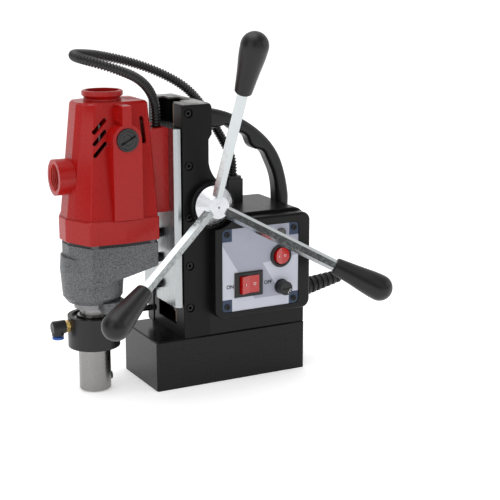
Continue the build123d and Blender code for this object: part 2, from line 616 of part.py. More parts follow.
PLATE_FACE_Y = PANEL_Y + 0.8
FRAME_BODY_L, FRAME_BODY_H = MAIN_L - 4, MAIN_H - 4
ROUND_BODY_R = ROUND_R - 1.7
with BuildPart() as panel_plate:
    with BuildSketch(side_plane(PLATE_FACE_Y)):
        with Locations((LABEL_X, LABEL_Z)):
            RectangleRounded(LABEL_L, LABEL_H, 4.5)
        with Locations(*PANEL_SCREWS):
            Circle(1.75, mode=Mode.SUBTRACT)
        with Locations((MAIN_X, MAIN_Z)):
            Rectangle(FRAME_BODY_L + 0.3, FRAME_BODY_H + 0.3, mode=Mode.SUBTRACT)
        with Locations((ROUND_X, ROUND_Z)):
            Circle(ROUND_BODY_R + 0.15, mode=Mode.SUBTRACT)
        with Locations((FUSE_X, FUSE_Z)):
            Circle(FUSE_R - 1.35, mode=Mode.SUBTRACT)
        with Locations((LAMP_X, LAMP_Z)):
            Circle(LAMP_R - 0.85, mode=Mode.SUBTRACT)
    extrude(amount=-LABEL_T)
save(panel_plate, "panel_plate")

with BuildPart() as panel_screws:
    for x, z in PANEL_SCREWS:
        with BuildSketch(across(x, z, PLATE_FACE_Y)):
            Circle(3.0)
        extrude(amount=1.6)
        with BuildSketch(across(x, z, PLATE_FACE_Y)):
            Circle(1.45)
        extrude(amount=-8.5)
    chamfer(panel_screws.faces().group_by(Axis.Y)[0].edges(), 0.6)
    for x, z in PANEL_SCREWS:
        with BuildSketch(across(x, z, PLATE_FACE_Y - 1.6)):
            Rectangle(3.6, 0.8)
            Rectangle(0.8, 3.6)
        extrude(amount=-1, mode=Mode.SUBTRACT)
save(panel_screws, "panel_screws")

BEZEL = 2.2
ROCKER_L, ROCKER_H = 21.0, 17.4
PIVOT_Y = PLATE_FACE_Y + 1.5
PIVOT_R = 1.2
with BuildPart() as main_frame:
    with BuildSketch(side_plane(PLATE_FACE_Y)):
        with Locations((MAIN_X, MAIN_Z)):
            Rectangle(MAIN_L, MAIN_H)
    extrude(amount=BEZEL)
    chamfer(main_frame.faces().sort_by(Axis.Y)[0].edges(), 0.8)
    with BuildSketch(side_plane(PLATE_FACE_Y)):
        with Locations((MAIN_X, MAIN_Z)):
            Rectangle(FRAME_BODY_L, FRAME_BODY_H)
    extrude(amount=-18)
    with BuildSketch(side_plane(PLATE_FACE_Y - BEZEL)):
        with Locations((MAIN_X, MAIN_Z)):
            Rectangle(ROCKER_L + 1.0, ROCKER_H + 0.6)
    extrude(amount=-(BEZEL + 9), mode=Mode.SUBTRACT)
    with BuildSketch(Plane(origin=(MAIN_X, PIVOT_Y, MAIN_Z - FRAME_BODY_H / 2 + 0.4), z_dir=(0, 0, 1))):
        Circle(PIVOT_R + RUN)
    extrude(amount=FRAME_BODY_H - 0.8, mode=Mode.SUBTRACT)
save(main_frame, "main_frame")


def rocker_outline(length, rise):
    """Section of a rocker about its pivot: a shallow V in front, a bow behind."""
    with BuildSketch(mode=Mode.PRIVATE) as outline:
        with BuildLine():
            r1 = Polyline((-length / 2, 2.4), (-length / 2, -rise - 1.0), (0, -rise + 0.6),
                          (length / 2, -rise - 1.0), (length / 2, 2.4))
            ThreePointArc(r1 @ 1, (0, 4.6), r1 @ 0)
        make_face()
    return outline.sketch


ROCK = 9.0
ROCK_GAP = 0.85                  # room for the round rocker to tilt in its hole
with BuildPart() as main_rocker:
    with BuildSketch(Plane(origin=(MAIN_X, PIVOT_Y, MAIN_Z - ROCKER_H / 2), z_dir=(0, 0, 1)).rotated((0, 0, ROCK))):
        add(rocker_outline(ROCKER_L - 0.8, 4.6))
    extrude(amount=ROCKER_H)
    with BuildSketch(Plane(origin=(MAIN_X, PIVOT_Y, MAIN_Z - FRAME_BODY_H / 2 + 0.6), z_dir=(0, 0, 1))):
        Circle(PIVOT_R)
    extrude(amount=FRAME_BODY_H - 1.2)
save(main_rocker, "main_rocker")

ROUND_ROCKER_R = ROUND_R - 3.4
with BuildPart() as round_frame:
    with BuildSketch(side_plane(PLATE_FACE_Y)):
        with Locations((ROUND_X, ROUND_Z)):
            Circle(ROUND_R)
    extrude(amount=BEZEL)
    fillet(round_frame.faces().sort_by(Axis.Y)[0].edges(), 0.9)
    with BuildSketch(side_plane(PLATE_FACE_Y)):
        with Locations((ROUND_X, ROUND_Z)):
            Circle(ROUND_BODY_R)
    extrude(amount=-16)
    with BuildSketch(side_plane(PLATE_FACE_Y - BEZEL)):
        with Locations((ROUND_X, ROUND_Z)):
            Circle(ROUND_ROCKER_R + ROCK_GAP)
    extrude(amount=-(BEZEL + 8), mode=Mode.SUBTRACT)
    with BuildSketch(Plane(origin=(ROUND_X, PIVOT_Y, ROUND_Z - ROUND_BODY_R + 0.4), z_dir=(0, 0, 1))):
        Circle(PIVOT_R + RUN)
    extrude(amount=2 * ROUND_BODY_R - 0.8, mode=Mode.SUBTRACT)
save(round_frame, "round_frame")

with BuildPart() as round_rocker:
    with BuildSketch(Plane(origin=(ROUND_X, PIVOT_Y, ROUND_Z - ROUND_R), z_dir=(0, 0, 1)).rotated((0, 0, ROCK))):
        add(rocker_outline(2 * ROUND_ROCKER_R - 0.6, 4.2))
    extrude(amount=2 * ROUND_R)
    # round when seen square to its own face, so that it clears the hole at both ends of its travel
    lean = radians(ROCK)
    with BuildSketch(Plane(origin=(ROUND_X, PIVOT_Y, ROUND_Z), x_dir=(cos(lean), sin(lean), 0),
                           z_dir=(sin(lean), -cos(lean), 0))):
        Circle(ROUND_ROCKER_R)
    extrude(amount=12, both=True, mode=Mode.INTERSECT)
    with BuildSketch(Plane(origin=(ROUND_X, PIVOT_Y, ROUND_Z - ROUND_BODY_R + 0.8), z_dir=(0, 0, 1))):
        Circle(PIVOT_R)
    extrude(amount=2 * ROUND_BODY_R - 1.6)
save(round_rocker, "round_rocker")

with BuildPart() as fuse_holder:
    with BuildSketch(side_plane(PLATE_FACE_Y)):
        with Locations((FUSE_X, FUSE_Z)):
            Circle(FUSE_R)
    extrude(amount=1.8)
    with BuildSketch(side_plane(PLATE_FACE_Y)):
        with Locations((FUSE_X, FUSE_Z)):
            Circle(FUSE_R - 1.6)
    extrude(amount=-30)
    with BuildSketch(side_plane(PLATE_FACE_Y - 1.8)):
        with Locations((FUSE_X, FUSE_Z)):
            Circle(3.6)
    extrude(amount=-26, mode=Mode.SUBTRACT)
save(fuse_holder, "fuse_holder")

FUSE_CAP_L = 9.0
with BuildPart() as fuse_cap:
    with BuildSketch(side_plane(PLATE_FACE_Y - 2.0)):
        with Locations((FUSE_X, FUSE_Z)):
            Circle(FUSE_R - 0.5)
            with PolarLocations(FUSE_R - 0.3, 12):
                Circle(0.5, mode=Mode.SUBTRACT)
    extrude(amount=FUSE_CAP_L)
    chamfer(fuse_cap.faces().sort_by(Axis.Y)[0].edges(), 0.5)
    with BuildSketch(side_plane(PLATE_FACE_Y - 2.0)):
        with Locations((FUSE_X, FUSE_Z)):
            Circle(3.6 - RUN)
    extrude(amount=-22)
    with BuildSketch(side_plane(PLATE_FACE_Y - 2.0 - FUSE_CAP_L)):
        with Locations((FUSE_X, FUSE_Z)):
            Rectangle(9, 1.4)
    extrude(amount=-1.0, mode=Mode.SUBTRACT)
save(fuse_cap, "fuse_cap")

with BuildPart() as indicator_lamp:
    with BuildSketch(side_plane(PLATE_FACE_Y)):
        with Locations((LAMP_X, LAMP_Z)):
            Circle(LAMP_R)
    extrude(amount=2.4)
    fillet(indicator_lamp.faces().sort_by(Axis.Y)[0].edges(), 1.2)
    with BuildSketch(side_plane(PLATE_FACE_Y)):
        with Locations((LAMP_X, LAMP_Z)):
            Circle(LAMP_R - 1.0)
    extrude(amount=-14)
save(indicator_lamp, "indicator_lamp")

# =============================== carry handle, gland and boot ====================================
HANDLE_W = 19.0
with BuildPart() as carry_handle:
    with BuildSketch(side_plane(HANDLE_W / 2)):
        with BuildLine():
            Spline((HEAD_REAR_X, 270.5), (10, 266.2), (24.1, 260.3), (52.4, 241.2), (74.2, 210.5),
                   (BOX_REAR, 178), (BOX_REAR, 150), tangents=((1, 0), (0, -1)))
            Line((BOX_REAR, 150), (68.5, 150))
            Spline((68.5, 150), (68.2, 172), (64.5, 199), (58, 214), (51.5, 223.6), (44, 226), (38, 231),
                   (34.5, 239), (27, 243.5), (18, 247.5), (11, 252), (4, 251), (HEAD_REAR_X, 251.5),
                   tangents=((0, 1), (-1, 0)))
            Line((HEAD_REAR_X, 251.5), (HEAD_REAR_X, 270.5))
        make_face()
    extrude(amount=HANDLE_W)
    HANDLE_EDGES = carry_handle.faces().filter_by(Axis.Y).edges()
    fillet(HANDLE_EDGES.filter_by(lambda e: e.center().X > HEAD_REAR_X + 1 and e.center().Z > 151), 5.0)
    # the foot is cut to the top of the control box
    with BuildSketch(side_plane(HANDLE_W)):
        add(box_outline())
    extrude(amount=2 * HANDLE_W, mode=Mode.SUBTRACT)
    for z in HANDLE_SCREW_ZS:
        with BuildSketch(facing_front(HEAD_REAR_X, 0, z)):
            Circle(2.5 + SEAT)
        extrude(amount=-14, mode=Mode.SUBTRACT)
    with BuildSketch(Plane.XY.offset(BOX_TOP - BOX_CORNER)):
        with Locations((FOOT_SCREW_X, 0)):
            Circle(2.5 + SEAT)
    extrude(amount=BOX_CORNER + 15, mode=Mode.SUBTRACT)
save(carry_handle, "carry_handle")

with BuildPart() as handle_screws:
    for z in HANDLE_SCREW_ZS:
        with BuildSketch(facing_front(RACK_BACK_X + 4.2, 0, z)):
            Circle(4.7)
        extrude(amount=3.8)
        with BuildSketch(facing_front(RACK_BACK_X + 4.2, 0, z)):
            Circle(2.5)
        extrude(amount=-(HEAD_REAR_X - RACK_BACK_X - 4.2) - 13)
    with BuildSketch(Plane.XY.offset(FOOT_SCREW_Z)):
        with Locations((FOOT_SCREW_X, 0)):
            Circle(2.5)
    extrude(amount=18)
    with BuildSketch(Plane.XY.offset(FOOT_SCREW_Z)):
        with Locations((FOOT_SCREW_X, 0)):
            Circle(4.5)
    extrude(amount=-4)
save(handle_screws, "handle_screws")

with BuildPart() as conduit_gland:
    with BuildSketch(Plane.XY.offset(BOX_TOP)):
        with Locations((GLAND_X, GLAND_Y)):
            RectangleRounded(GLAND_L, GLAND_W, 1.5)
    extrude(amount=GLAND_H - 3)
    with BuildSketch(Plane.XY.offset(BOX_TOP + GLAND_H - 3)):
        with Locations((GLAND_X, GLAND_Y)):
            RectangleRounded(GLAND_L - 3, GLAND_W - 2, 1.5)
    extrude(amount=3)
    with BuildSketch(Plane.XY.offset(BOX_TOP - BOX_WALL - 4)):
        with Locations((GLAND_X, GLAND_Y)):
            Circle(6.0 - SEAT)
    extrude(amount=BOX_WALL + 4)
    with BuildSketch(Plane.XY.offset(BOX_TOP - BOX_WALL - 4)):
        with Locations((GLAND_X, GLAND_Y)):
            Circle(3.4)
    extrude(amount=GLAND_H + 10, mode=Mode.SUBTRACT)
    with BuildSketch(Plane.XY.offset(BOX_TOP + GLAND_H - CONDUIT_IN - CONDUIT_PLAY)):
        with Locations((GLAND_X, GLAND_Y)):
            Circle(CONDUIT_R + CONDUIT_PLAY)
    extrude(amount=CONDUIT_IN + CONDUIT_PLAY, mode=Mode.SUBTRACT)
save(conduit_gland, "conduit_gland")

BOOT_L = 57.0
BOOT_RISE = 9.0
with BuildPart() as cable_boot:
    rear = Plane(origin=(BOX_REAR, BOOT_Y, BOOT_Z), x_dir=(0, 1, 0), z_dir=(1, 0, 0))
    tilted = rear.rotated((0, -BOOT_RISE, 0))
    with BuildSketch(tilted.offset(-3)):
        Circle(BOOT_R)
    with BuildSketch(tilted.offset(BOOT_L)):
        Circle(BOOT_R * 0.6)
    loft()
    for k in range(8):
        along = 7 + 6.2 * k
        with BuildSketch(tilted.offset(along)):
            Circle(BOOT_R * (1.15 - 0.05 * k))
        extrude(amount=2.8)
    split(bisect_by=rear, keep=Keep.TOP)
    with BuildSketch(rear.offset(-BOX_WALL - 3)):
        Circle(7.0 - SEAT)
    extrude(amount=BOX_WALL + 3)
    with BuildSketch(rear.offset(-BOX_WALL - 3)):
        Circle(3.6)
    extrude(amount=BOX_WALL + 4, mode=Mode.SUBTRACT)
    with BuildSketch(tilted.offset(-1)):
        Circle(3.6)
    extrude(amount=BOOT_L + 2, mode=Mode.SUBTRACT)
save(cable_boot, "cable_boot")

# =============================== red motor housing ==============================================
BAND_FRONT, BAND_HALF = SPINDLE_X - 29.0, 38.5
WALL = 3.0
BODY_INSET = 1.8
TOP_FRONT, TOP_REAR, TOP_HALF = SPINDLE_X - 14.5, HEAD_REAR - 3.0, 22.0
SPIGOT_X, SPIGOT_R = MOTOR_X - 7.0, 19.6
BRUSH_BOSS_R, BRUSH_BOSS_Y = 14.4, 43.0
BRUSH_CAP_R = 10.6
CASE_SCREWS = [(x, y) for x in (BAND_FRONT + 20.5, HEAD_REAR - 7.0) for y in (-BAND_HALF + 7.0, BAND_HALF - 7.0)]
BLOCK_HALF, BLOCK_BOTTOM, BLOCK_TOP = 25.4, 176.0, 257.0
STATOR_R, STATOR_BOTTOM, STATOR_TOP = 25.0, 184.0, 224.0
BEARING_1_Z, BEARING_1_H, BEARING_1_R = 264.0, 7.0, 10.0


def taper_plan(level, inset):
    """Plan of the tapering red body at a height between the band and the roof."""
    share = (level - BAND_TOP) / (RED_TOP - BAND_TOP)
    front = (BAND_FRONT + BODY_INSET) * (1 - share) + TOP_FRONT * share + inset
    rear = (HEAD_REAR - 0.6) * (1 - share) + TOP_REAR * share - inset
    half = (BAND_HALF - BODY_INSET) * (1 - share) + TOP_HALF * share - inset
    return rounded_polygon(head_plan(front, rear, half, bow=3.0 * (1 - share) + 1.5 * share), 3.0)


with BuildPart() as body_blank:
    with BuildSketch(Plane.XY.offset(BAND_TOP)):
        add(taper_plan(BAND_TOP, 0))
    with BuildSketch(Plane.XY.offset(RED_TOP - 2)):
        add(taper_plan(RED_TOP - 2, 0))
    loft()
    with BuildSketch(Plane.XY.offset(RED_TOP - 2)):
        add(taper_plan(RED_TOP - 2, 0))
    with BuildSketch(Plane.XY.offset(RED_TOP)):
        add(taper_plan(RED_TOP, 1.8))
    loft()

with BuildPart() as body_hollow:
    with BuildSketch(Plane.XY.offset(BAND_TOP - 0.1)):
        add(taper_plan(BAND_TOP, WALL))
    with BuildSketch(Plane.XY.offset(RED_TOP - WALL)):
        add(taper_plan(RED_TOP - WALL, WALL))
    loft()

with BuildPart() as stator_seat:
    with BuildSketch(Plane.XY.offset(STATOR_BOTTOM)):
        with Locations((MOTOR_X, 0)):
            Circle(STATOR_R + 2.5)
            Rectangle(120, 3)
            Rectangle(3, 120)
    extrude(amount=STATOR_TOP - STATOR_BOTTOM)
    with BuildSketch(Plane.XY.offset(BEARING_1_Z - 2)):
        with Locations((MOTOR_X, 0)):
            Circle(BEARING_1_R + 3)
            Rectangle(90, 3)
            Rectangle(3, 90)
    extrude(amount=RED_TOP - BEARING_1_Z)
    add(body_blank.part, mode=Mode.INTERSECT)

with BuildPart() as motor_housing:
    with BuildSketch(Plane.XY.offset(RED_BOTTOM)):
        add(rounded_polygon(head_plan(BAND_FRONT, HEAD_REAR, BAND_HALF), 3.0))
    extrude(amount=BAND_TOP - RED_BOTTOM)
    chamfer(motor_housing.faces().sort_by(Axis.Z)[-1].edges(), 1.0)
    add(body_blank.part)
    # block behind the body that is bolted to the slide
    with BuildSketch(Plane.XY.offset(BLOCK_BOTTOM)):
        with Locations(((HEAD_REAR + PLATE_FRONT) / 2 - 3, 0)):
            Rectangle(PLATE_FRONT - HEAD_REAR + 6, 2 * BLOCK_HALF)
    extrude(amount=BLOCK_TOP - BLOCK_BOTTOM)
    # bosses of the two brushes, each running down as a flat pilaster
    for side in (-1, 1):
        with BuildSketch(side_plane(side * BRUSH_BOSS_Y)):
            with Locations((MOTOR_X, BRUSH_Z)):
                Circle(BRUSH_BOSS_R)
            with Locations((MOTOR_X, (BAND_TOP + BRUSH_Z) / 2)):
                Rectangle(2 * BRUSH_BOSS_R, BRUSH_Z - BAND_TOP)
            with Locations((MOTOR_X, (BRUSH_Z + RED_TOP) / 2)):
                Rectangle(9, RED_TOP - BRUSH_Z - 3)
        extrude(amount=side * 24)
    with BuildSketch(side_plane(-BRUSH_BOSS_Y + 6)):
        with Locations((MOTOR_X, (BRUSH_Z + RED_TOP + 12) / 2)):
            Rectangle(12, RED_TOP - BRUSH_Z + 12 - 2 * BRUSH_BOSS_R - 4)
    # boss for a side handle, pointing forward
    with BuildSketch(facing_front(TOP_FRONT - 21.1, 0, HANDLE_BOSS_Z)):
        Circle(17.2)
    extrude(amount=-16)
    # spigot on the roof
    with BuildSketch(Plane.XZ):
        with Locations((SPIGOT_X, RED_TOP)):
            Polygon((0, -3), (SPIGOT_R - 1.6, -3), (SPIGOT_R - 1.6, 2.2), (SPIGOT_R - 2.6, 3.0), (SPIGOT_R - 1.4, 4.2),
                    (SPIGOT_R, 5.4), (SPIGOT_R, 8.6), (SPIGOT_R - 1, 9.6), (SPIGOT_R - 3, 9.6), (0, 9.6), align=None)
    revolve(axis=Axis((SPIGOT_X, 0, 0), (0, 0, 1)))
    # hollow inside
    with BuildSketch(Plane.XY.offset(RED_BOTTOM)):
        add(rounded_polygon(head_plan(BAND_FRONT + WALL, HEAD_REAR - WALL, BAND_HALF - WALL), 2.0))
    extrude(amount=BAND_TOP - RED_BOTTOM, mode=Mode.SUBTRACT)
    add(body_hollow.part, mode=Mode.SUBTRACT)
    add(stator_seat.part)
    with BuildSketch(Plane.XY.offset(RED_BOTTOM)):
        with Locations(*CASE_SCREWS):
            Circle(5.2)
    extrude(amount=BAND_TOP - RED_BOTTOM + 2)
    with BuildSketch(Plane.XY.offset(RED_BOTTOM)):
        with Locations(*CASE_SCREWS):
            Circle(2.0 + SEAT)
    extrude(amount=18, mode=Mode.SUBTRACT)
    with BuildSketch(Plane.XY.offset(STATOR_BOTTOM - 1)):
        with Locations((MOTOR_X, 0)):
            Circle(STATOR_R + SEAT)
    extrude(amount=STATOR_TOP - STATOR_BOTTOM + 2, mode=Mode.SUBTRACT)
    with BuildSketch(Plane.XY.offset(BEARING_1_Z - 3)):
        with Locations((MOTOR_X, 0)):
            Circle(BEARING_1_R + SEAT)
    extrude(amount=BEARING_1_H + 3, mode=Mode.SUBTRACT)
    with BuildSketch(Plane.XY.offset(BEARING_1_Z)):
        with Locations((MOTOR_X, 0)):
            Circle(5.5)
    extrude(amount=BEARING_1_H + 4, mode=Mode.SUBTRACT)
    # cup inside the spigot
    with BuildSketch(Plane.XY.offset(RED_TOP - 0.2)):
        with Locations((SPIGOT_X, 0)):
            Circle(SPIGOT_R - 3.6)
    extrude(amount=10, mode=Mode.SUBTRACT)
    # bore of each brush holder and the recess of its cap
    for side in (-1, 1):
        with BuildSketch(side_plane(side * BRUSH_BOSS_Y)):
            with Locations((MOTOR_X, BRUSH_Z)):
                Circle(7.0)
        extrude(amount=side * 30, mode=Mode.SUBTRACT)
        with BuildSketch(side_plane(side * BRUSH_BOSS_Y)):
            with Locations((MOTOR_X, BRUSH_Z)):
                Circle(BRUSH_CAP_R + 0.4)
        extrude(amount=side * 3.0, mode=Mode.SUBTRACT)
        # cooling slots beside the boss, three slanted and one upright
        for k in range(3):
            with BuildSketch(across(MOTOR_X - 20.4 - 0.4 * k, 263.0 - 10.8 * k, side * 45)):
                SlotOverall(19, 4.2, rotation=45)
            extrude(amount=side * 27, mode=Mode.SUBTRACT)
        with BuildSketch(across(MOTOR_X + 22.5, 257, side * 45)):
            SlotOverall(26, 4.2, rotation=93)
        extrude(amount=side * 27, mode=Mode.SUBTRACT)
    with BuildSketch(facing_front(TOP_FRONT - 21.1, 0, HANDLE_BOSS_Z)):
        Circle(13.2)
    extrude(amount=-14, mode=Mode.SUBTRACT)
    # vents in the roof behind the spigot
    for k in range(3):
        with BuildSketch(Plane.XY.offset(RED_TOP - WALL - 1)):
            with Locations((TOP_REAR - 10, 7.0 * (k - 1))):
                SlotOverall(15, 3.0, rotation=-30)
        extrude(amount=WALL + 2, mode=Mode.SUBTRACT)
    # bolt holes in the mounting block and the conduit's entry
    for y, z in MOUNT_BOLTS:
        with BuildSketch(facing_front(PLATE_FRONT, y, z)):
            Circle(3.5 + SEAT)
        extrude(amount=12, mode=Mode.SUBTRACT)
    with BuildSketch(Plane.XY.offset(BLOCK_TOP - CONDUIT_IN - CONDUIT_PLAY)):
        with Locations(CONDUIT_ROUTE[-1][:2]):
            Circle(CONDUIT_R + CONDUIT_PLAY)
    extrude(amount=CONDUIT_IN + CONDUIT_PLAY, mode=Mode.SUBTRACT)
save(motor_housing, "motor_housing")

# =============================== motor parts ====================================================
with BuildPart() as stator:
    with BuildSketch(Plane.XY.offset(STATOR_BOTTOM)):
        with Locations((MOTOR_X, 0)):
            Circle(STATOR_R)
            Circle(17.5, mode=Mode.SUBTRACT)
    extrude(amount=STATOR_TOP - STATOR_BOTTOM)
    # ends of the field coils
    for z in (STATOR_BOTTOM - 7, STATOR_TOP):
        with BuildSketch(Plane.XY.offset(z)):
            with Locations((MOTOR_X, 0)):
                Circle(23.5)
                Circle(18.5, mode=Mode.SUBTRACT)
        extrude(amount=7)
save(stator, "stator")

with BuildPart() as brush_caps:
    for side in (-1, 1):
        with BuildSketch(side_plane(side * (BRUSH_BOSS_Y - 3))):
            with Locations((MOTOR_X, BRUSH_Z)):
                Circle(BRUSH_CAP_R)
        extrude(amount=-side * 4.4)
        with BuildSketch(side_plane(side * (BRUSH_BOSS_Y - 3))):
            with Locations((MOTOR_X, BRUSH_Z)):
                Circle(6.0)
        extrude(amount=side * 3.0)
        with BuildSketch(side_plane(side * (BRUSH_BOSS_Y + 1.4))):
            with Locations((MOTOR_X, BRUSH_Z)):
                Rectangle(16, 2.4, rotation=28)
        extrude(amount=side * 2.0, mode=Mode.SUBTRACT)
save(brush_caps, "brush_caps")

COMMUTATOR_R = 11.0
BRUSH_HALF = 3.0
with BuildPart() as brush_holders:
    for side in (-1, 1):
        with BuildSketch(side_plane(side * (BRUSH_BOSS_Y - 6.2))):
            with Locations((MOTOR_X, BRUSH_Z)):
                Circle(7.0 - SEAT)
                Rectangle(2 * BRUSH_HALF + 0.3, 2 * BRUSH_HALF + 0.3, mode=Mode.SUBTRACT)
        extrude(amount=side * (BRUSH_BOSS_Y - 6.2 - COMMUTATOR_R - 2))
save(brush_holders, "brush_holders")

with BuildPart() as brushes:
    for side in (-1, 1):
        with BuildSketch(side_plane(side * (COMMUTATOR_R + 0.4))):
            with Locations((MOTOR_X, BRUSH_Z)):
                Rectangle(2 * BRUSH_HALF, 2 * BRUSH_HALF)
        extrude(amount=-side * 16)
        with BuildSketch(side_plane(side * (COMMUTATOR_R + 16.4))):
            with Locations((MOTOR_X, BRUSH_Z)):
                Circle(1.6)
        extrude(amount=-side * (BRUSH_BOSS_Y - 6 - COMMUTATOR_R - 16.4))
save(brushes, "brushes")

ARM_SHAFT_R = 4.0
BEARING_2_Z, BEARING_2_H, BEARING_2_R = 139.6, 5.4, 10.0
with BuildPart() as motor_bearings:
    for z, height, radius in ((BEARING_1_Z, BEARING_1_H, BEARING_1_R), (BEARING_2_Z, BEARING_2_H, BEARING_2_R)):
        with BuildSketch(Plane.XY.offset(z)):
            with Locations((MOTOR_X, 0)):
                Circle(radius)
                Circle(ARM_SHAFT_R + RUN, mode=Mode.SUBTRACT)
        extrude(amount=height)
save(motor_bearings, "motor_bearings")

with BuildPart() as armature_core:
    with BuildSketch(Plane.XY.offset(STATOR_BOTTOM + 1)):
        with Locations((MOTOR_X, 0)):
            Circle(17.0)
            Circle(ARM_SHAFT_R + SEAT, mode=Mode.SUBTRACT)
    extrude(amount=STATOR_TOP - STATOR_BOTTOM - 2)
save(armature_core, "armature_core")

# shaft, commutator and the pinion cut on its lower end
MESH_1 = atan2(IDLER_Y, IDLER_X - MOTOR_X)
PINION_1_Z, PINION_1_H = 128.5, 10.3
with BuildPart() as armature_shaft:
    with BuildSketch(Plane.XY.offset(PINION_1_Z)):
        with Locations((MOTOR_X, 0)):
            Circle(ARM_SHAFT_R)
    extrude(amount=BEARING_1_Z + BEARING_1_H + 1 - PINION_1_Z)
    with BuildSketch(Plane.XY.offset(PINION_1_Z)):
        with Locations((MOTOR_X, 0)):
            add(gear_sketch(GEAR_1, TEETH_1A, start=MESH_1))
    extrude(amount=PINION_1_H)
    with BuildSketch(Plane.XY.offset(BRUSH_Z - 10)):
        with Locations((MOTOR_X, 0)):
            Circle(COMMUTATOR_R)
    extrude(amount=20)
save(armature_shaft, "armature_shaft")

FAN_Z, FAN_H, FAN_R = 157.0, 12.0, 27.0
with BuildPart() as fan:
    with BuildSketch(Plane.XY.offset(FAN_Z)):
        with Locations((MOTOR_X, 0)):
            Circle(FAN_R)
            Circle(ARM_SHAFT_R + SEAT, mode=Mode.SUBTRACT)
    extrude(amount=2)
    with BuildSketch(Plane.XY.offset(FAN_Z)):
        with Locations((MOTOR_X, 0)):
            Circle(7)
            Circle(ARM_SHAFT_R + SEAT, mode=Mode.SUBTRACT)
    extrude(amount=FAN_H)
    with BuildSketch(Plane.XY.offset(FAN_Z + 1)):
        with Locations((MOTOR_X, 0)):
            with PolarLocations(17, 9):
                Rectangle(18, 1.6, rotation=20)
    extrude(amount=FAN_H - 3)
save(fan, "fan")

# =============================== gear case ======================================================
CASE_INSET = 2.4
CASE_BOTTOM = 97.0
CASE_R, CONE_R = 34.0, 29.0
SLOPE_FRONT, SLOPE_REAR = 113.0, 127.0
SPINDLE_TOP_R, SPINDLE_SEAT_R = 7.5, 9.5
IDLER_SHAFT_R = 4.0
ARBOR_UPPER_R = 10.0
CAVITY_Z = 127.5
LOWER_BEARING_Z, LOWER_BEARING_H, LOWER_BEARING_R = 84.5, 10.0, 18.5
PLATE_Z, PLATE_H = 139.4, 6.6


def case_plan(inset):
    """Plan of the gear case or of a line inside it."""
    outline = head_plan(BAND_FRONT + CASE_INSET + inset, HEAD_REAR - 0.5 - inset, BAND_HALF - CASE_INSET - inset)
    return rounded_polygon(outline, 3.0)


with BuildPart() as gear_housing:
    with BuildSketch(Plane.XY.offset(100)):
        add(case_plan(0))
    extrude(amount=CASE_TOP - 100)
    # the flange ends below on a plane that climbs towards the rear
    with BuildSketch(side_plane(60)):
        Polygon((BAND_FRONT - 5, 90), (HEAD_REAR + 5, 90), (HEAD_REAR + 5, SLOPE_REAR + 1.0),
                (BAND_FRONT - 5, SLOPE_FRONT - 5.0), align=None)
    extrude(amount=120, mode=Mode.SUBTRACT)
    with BuildSketch(Plane.XZ):
        with Locations((SPINDLE_X, 0)):
            Polygon((0, NECK_TOP), (NECK_R, NECK_TOP), (CONE_R - 2, NECK_TOP + 3), (CONE_R, CASE_BOTTOM),
                    (CASE_R - 3, CASE_BOTTOM + 27), (CASE_R - 4, CASE_BOTTOM + 40), (0, CASE_BOTTOM + 40), align=None)
    revolve(axis=Axis((SPINDLE_X, 0, 0), (0, 0, 1)))
    with BuildSketch(Plane.XZ):
        with Locations((SPINDLE_X, 0)):
            with Locations((0, NECK_BOTTOM)):
                Rectangle(NECK_R, NECK_TOP - NECK_BOTTOM + 2, align=(Align.MIN, Align.MIN))
    with BuildSketch(Plane.XY.offset(101)):
        with Locations((IDLER_X, IDLER_Y)):
            Circle(12)
    extrude(amount=30)
    # lugs at the corners reach past the baffle to the motor housing
    with BuildSketch(Plane.XY.offset(CASE_TOP - 14)):
        with Locations(*CASE_SCREWS):
            Circle(5.0)
    extrude(amount=14 + RED_BOTTOM - CASE_TOP)
    with BuildSketch(Plane.XY.offset(CAVITY_Z)):
        add(case_plan(4.0))
    extrude(amount=CASE_TOP - CAVITY_Z, mode=Mode.SUBTRACT)
    with BuildSketch(Plane.XY.offset(100.5)):
        with Locations((SPINDLE_X, 0)):
            Circle(25.0)
    extrude(amount=CAVITY_Z - 100, mode=Mode.SUBTRACT)
    with BuildSketch(Plane.XY.offset(104)):
        with Locations((IDLER_X, IDLER_Y)):
            Circle(8.5)
    extrude(amount=CAVITY_Z - 104, mode=Mode.SUBTRACT)
    with BuildSketch(Plane.XY.offset(CASE_BOTTOM - 30)):
        with Locations((SPINDLE_X, 0)):
            Circle(15.0 + 1.0)
    extrude(amount=60, mode=Mode.SUBTRACT)
    with BuildSketch(Plane.XY.offset(NECK_BOTTOM - 0.5)):
        with Locations((SPINDLE_X, 0)):
            Circle(LOWER_BEARING_R + SEAT)
    extrude(amount=LOWER_BEARING_H + 2, mode=Mode.SUBTRACT)
    # bosses inside for the screws
    with BuildSketch(Plane.XY.offset(CAVITY_Z - 1)):
        with Locations(*CASE_SCREWS):
            Circle(5.0)
    extrude(amount=CASE_TOP - CAVITY_Z + 1)
    with BuildSketch(Plane.XY.offset(60)):
        with Locations(*CASE_SCREWS):
            Circle(2.0 + SCREW)
    extrude(amount=120, mode=Mode.SUBTRACT)
    with BuildSketch(Plane.XY.offset(60)):
        with Locations(*CASE_SCREWS):
            Circle(3.9)
    extrude(amount=CASE_TOP - 24 - 60 + 8, mode=Mode.SUBTRACT)
save(gear_housing, "gear_housing")

HEAD_SCREW_Z = CASE_TOP - 16
with BuildPart() as housing_screws:
    with BuildSketch(Plane.XY.offset(HEAD_SCREW_Z)):
        with Locations(*CASE_SCREWS):
            Circle(2.0)
    extrude(amount=RED_BOTTOM + 14 - HEAD_SCREW_Z)
    with BuildSketch(Plane.XY.offset(HEAD_SCREW_Z)):
        with Locations(*CASE_SCREWS):
            Circle(3.6)
    extrude(amount=-4)
save(housing_screws, "housing_screws")

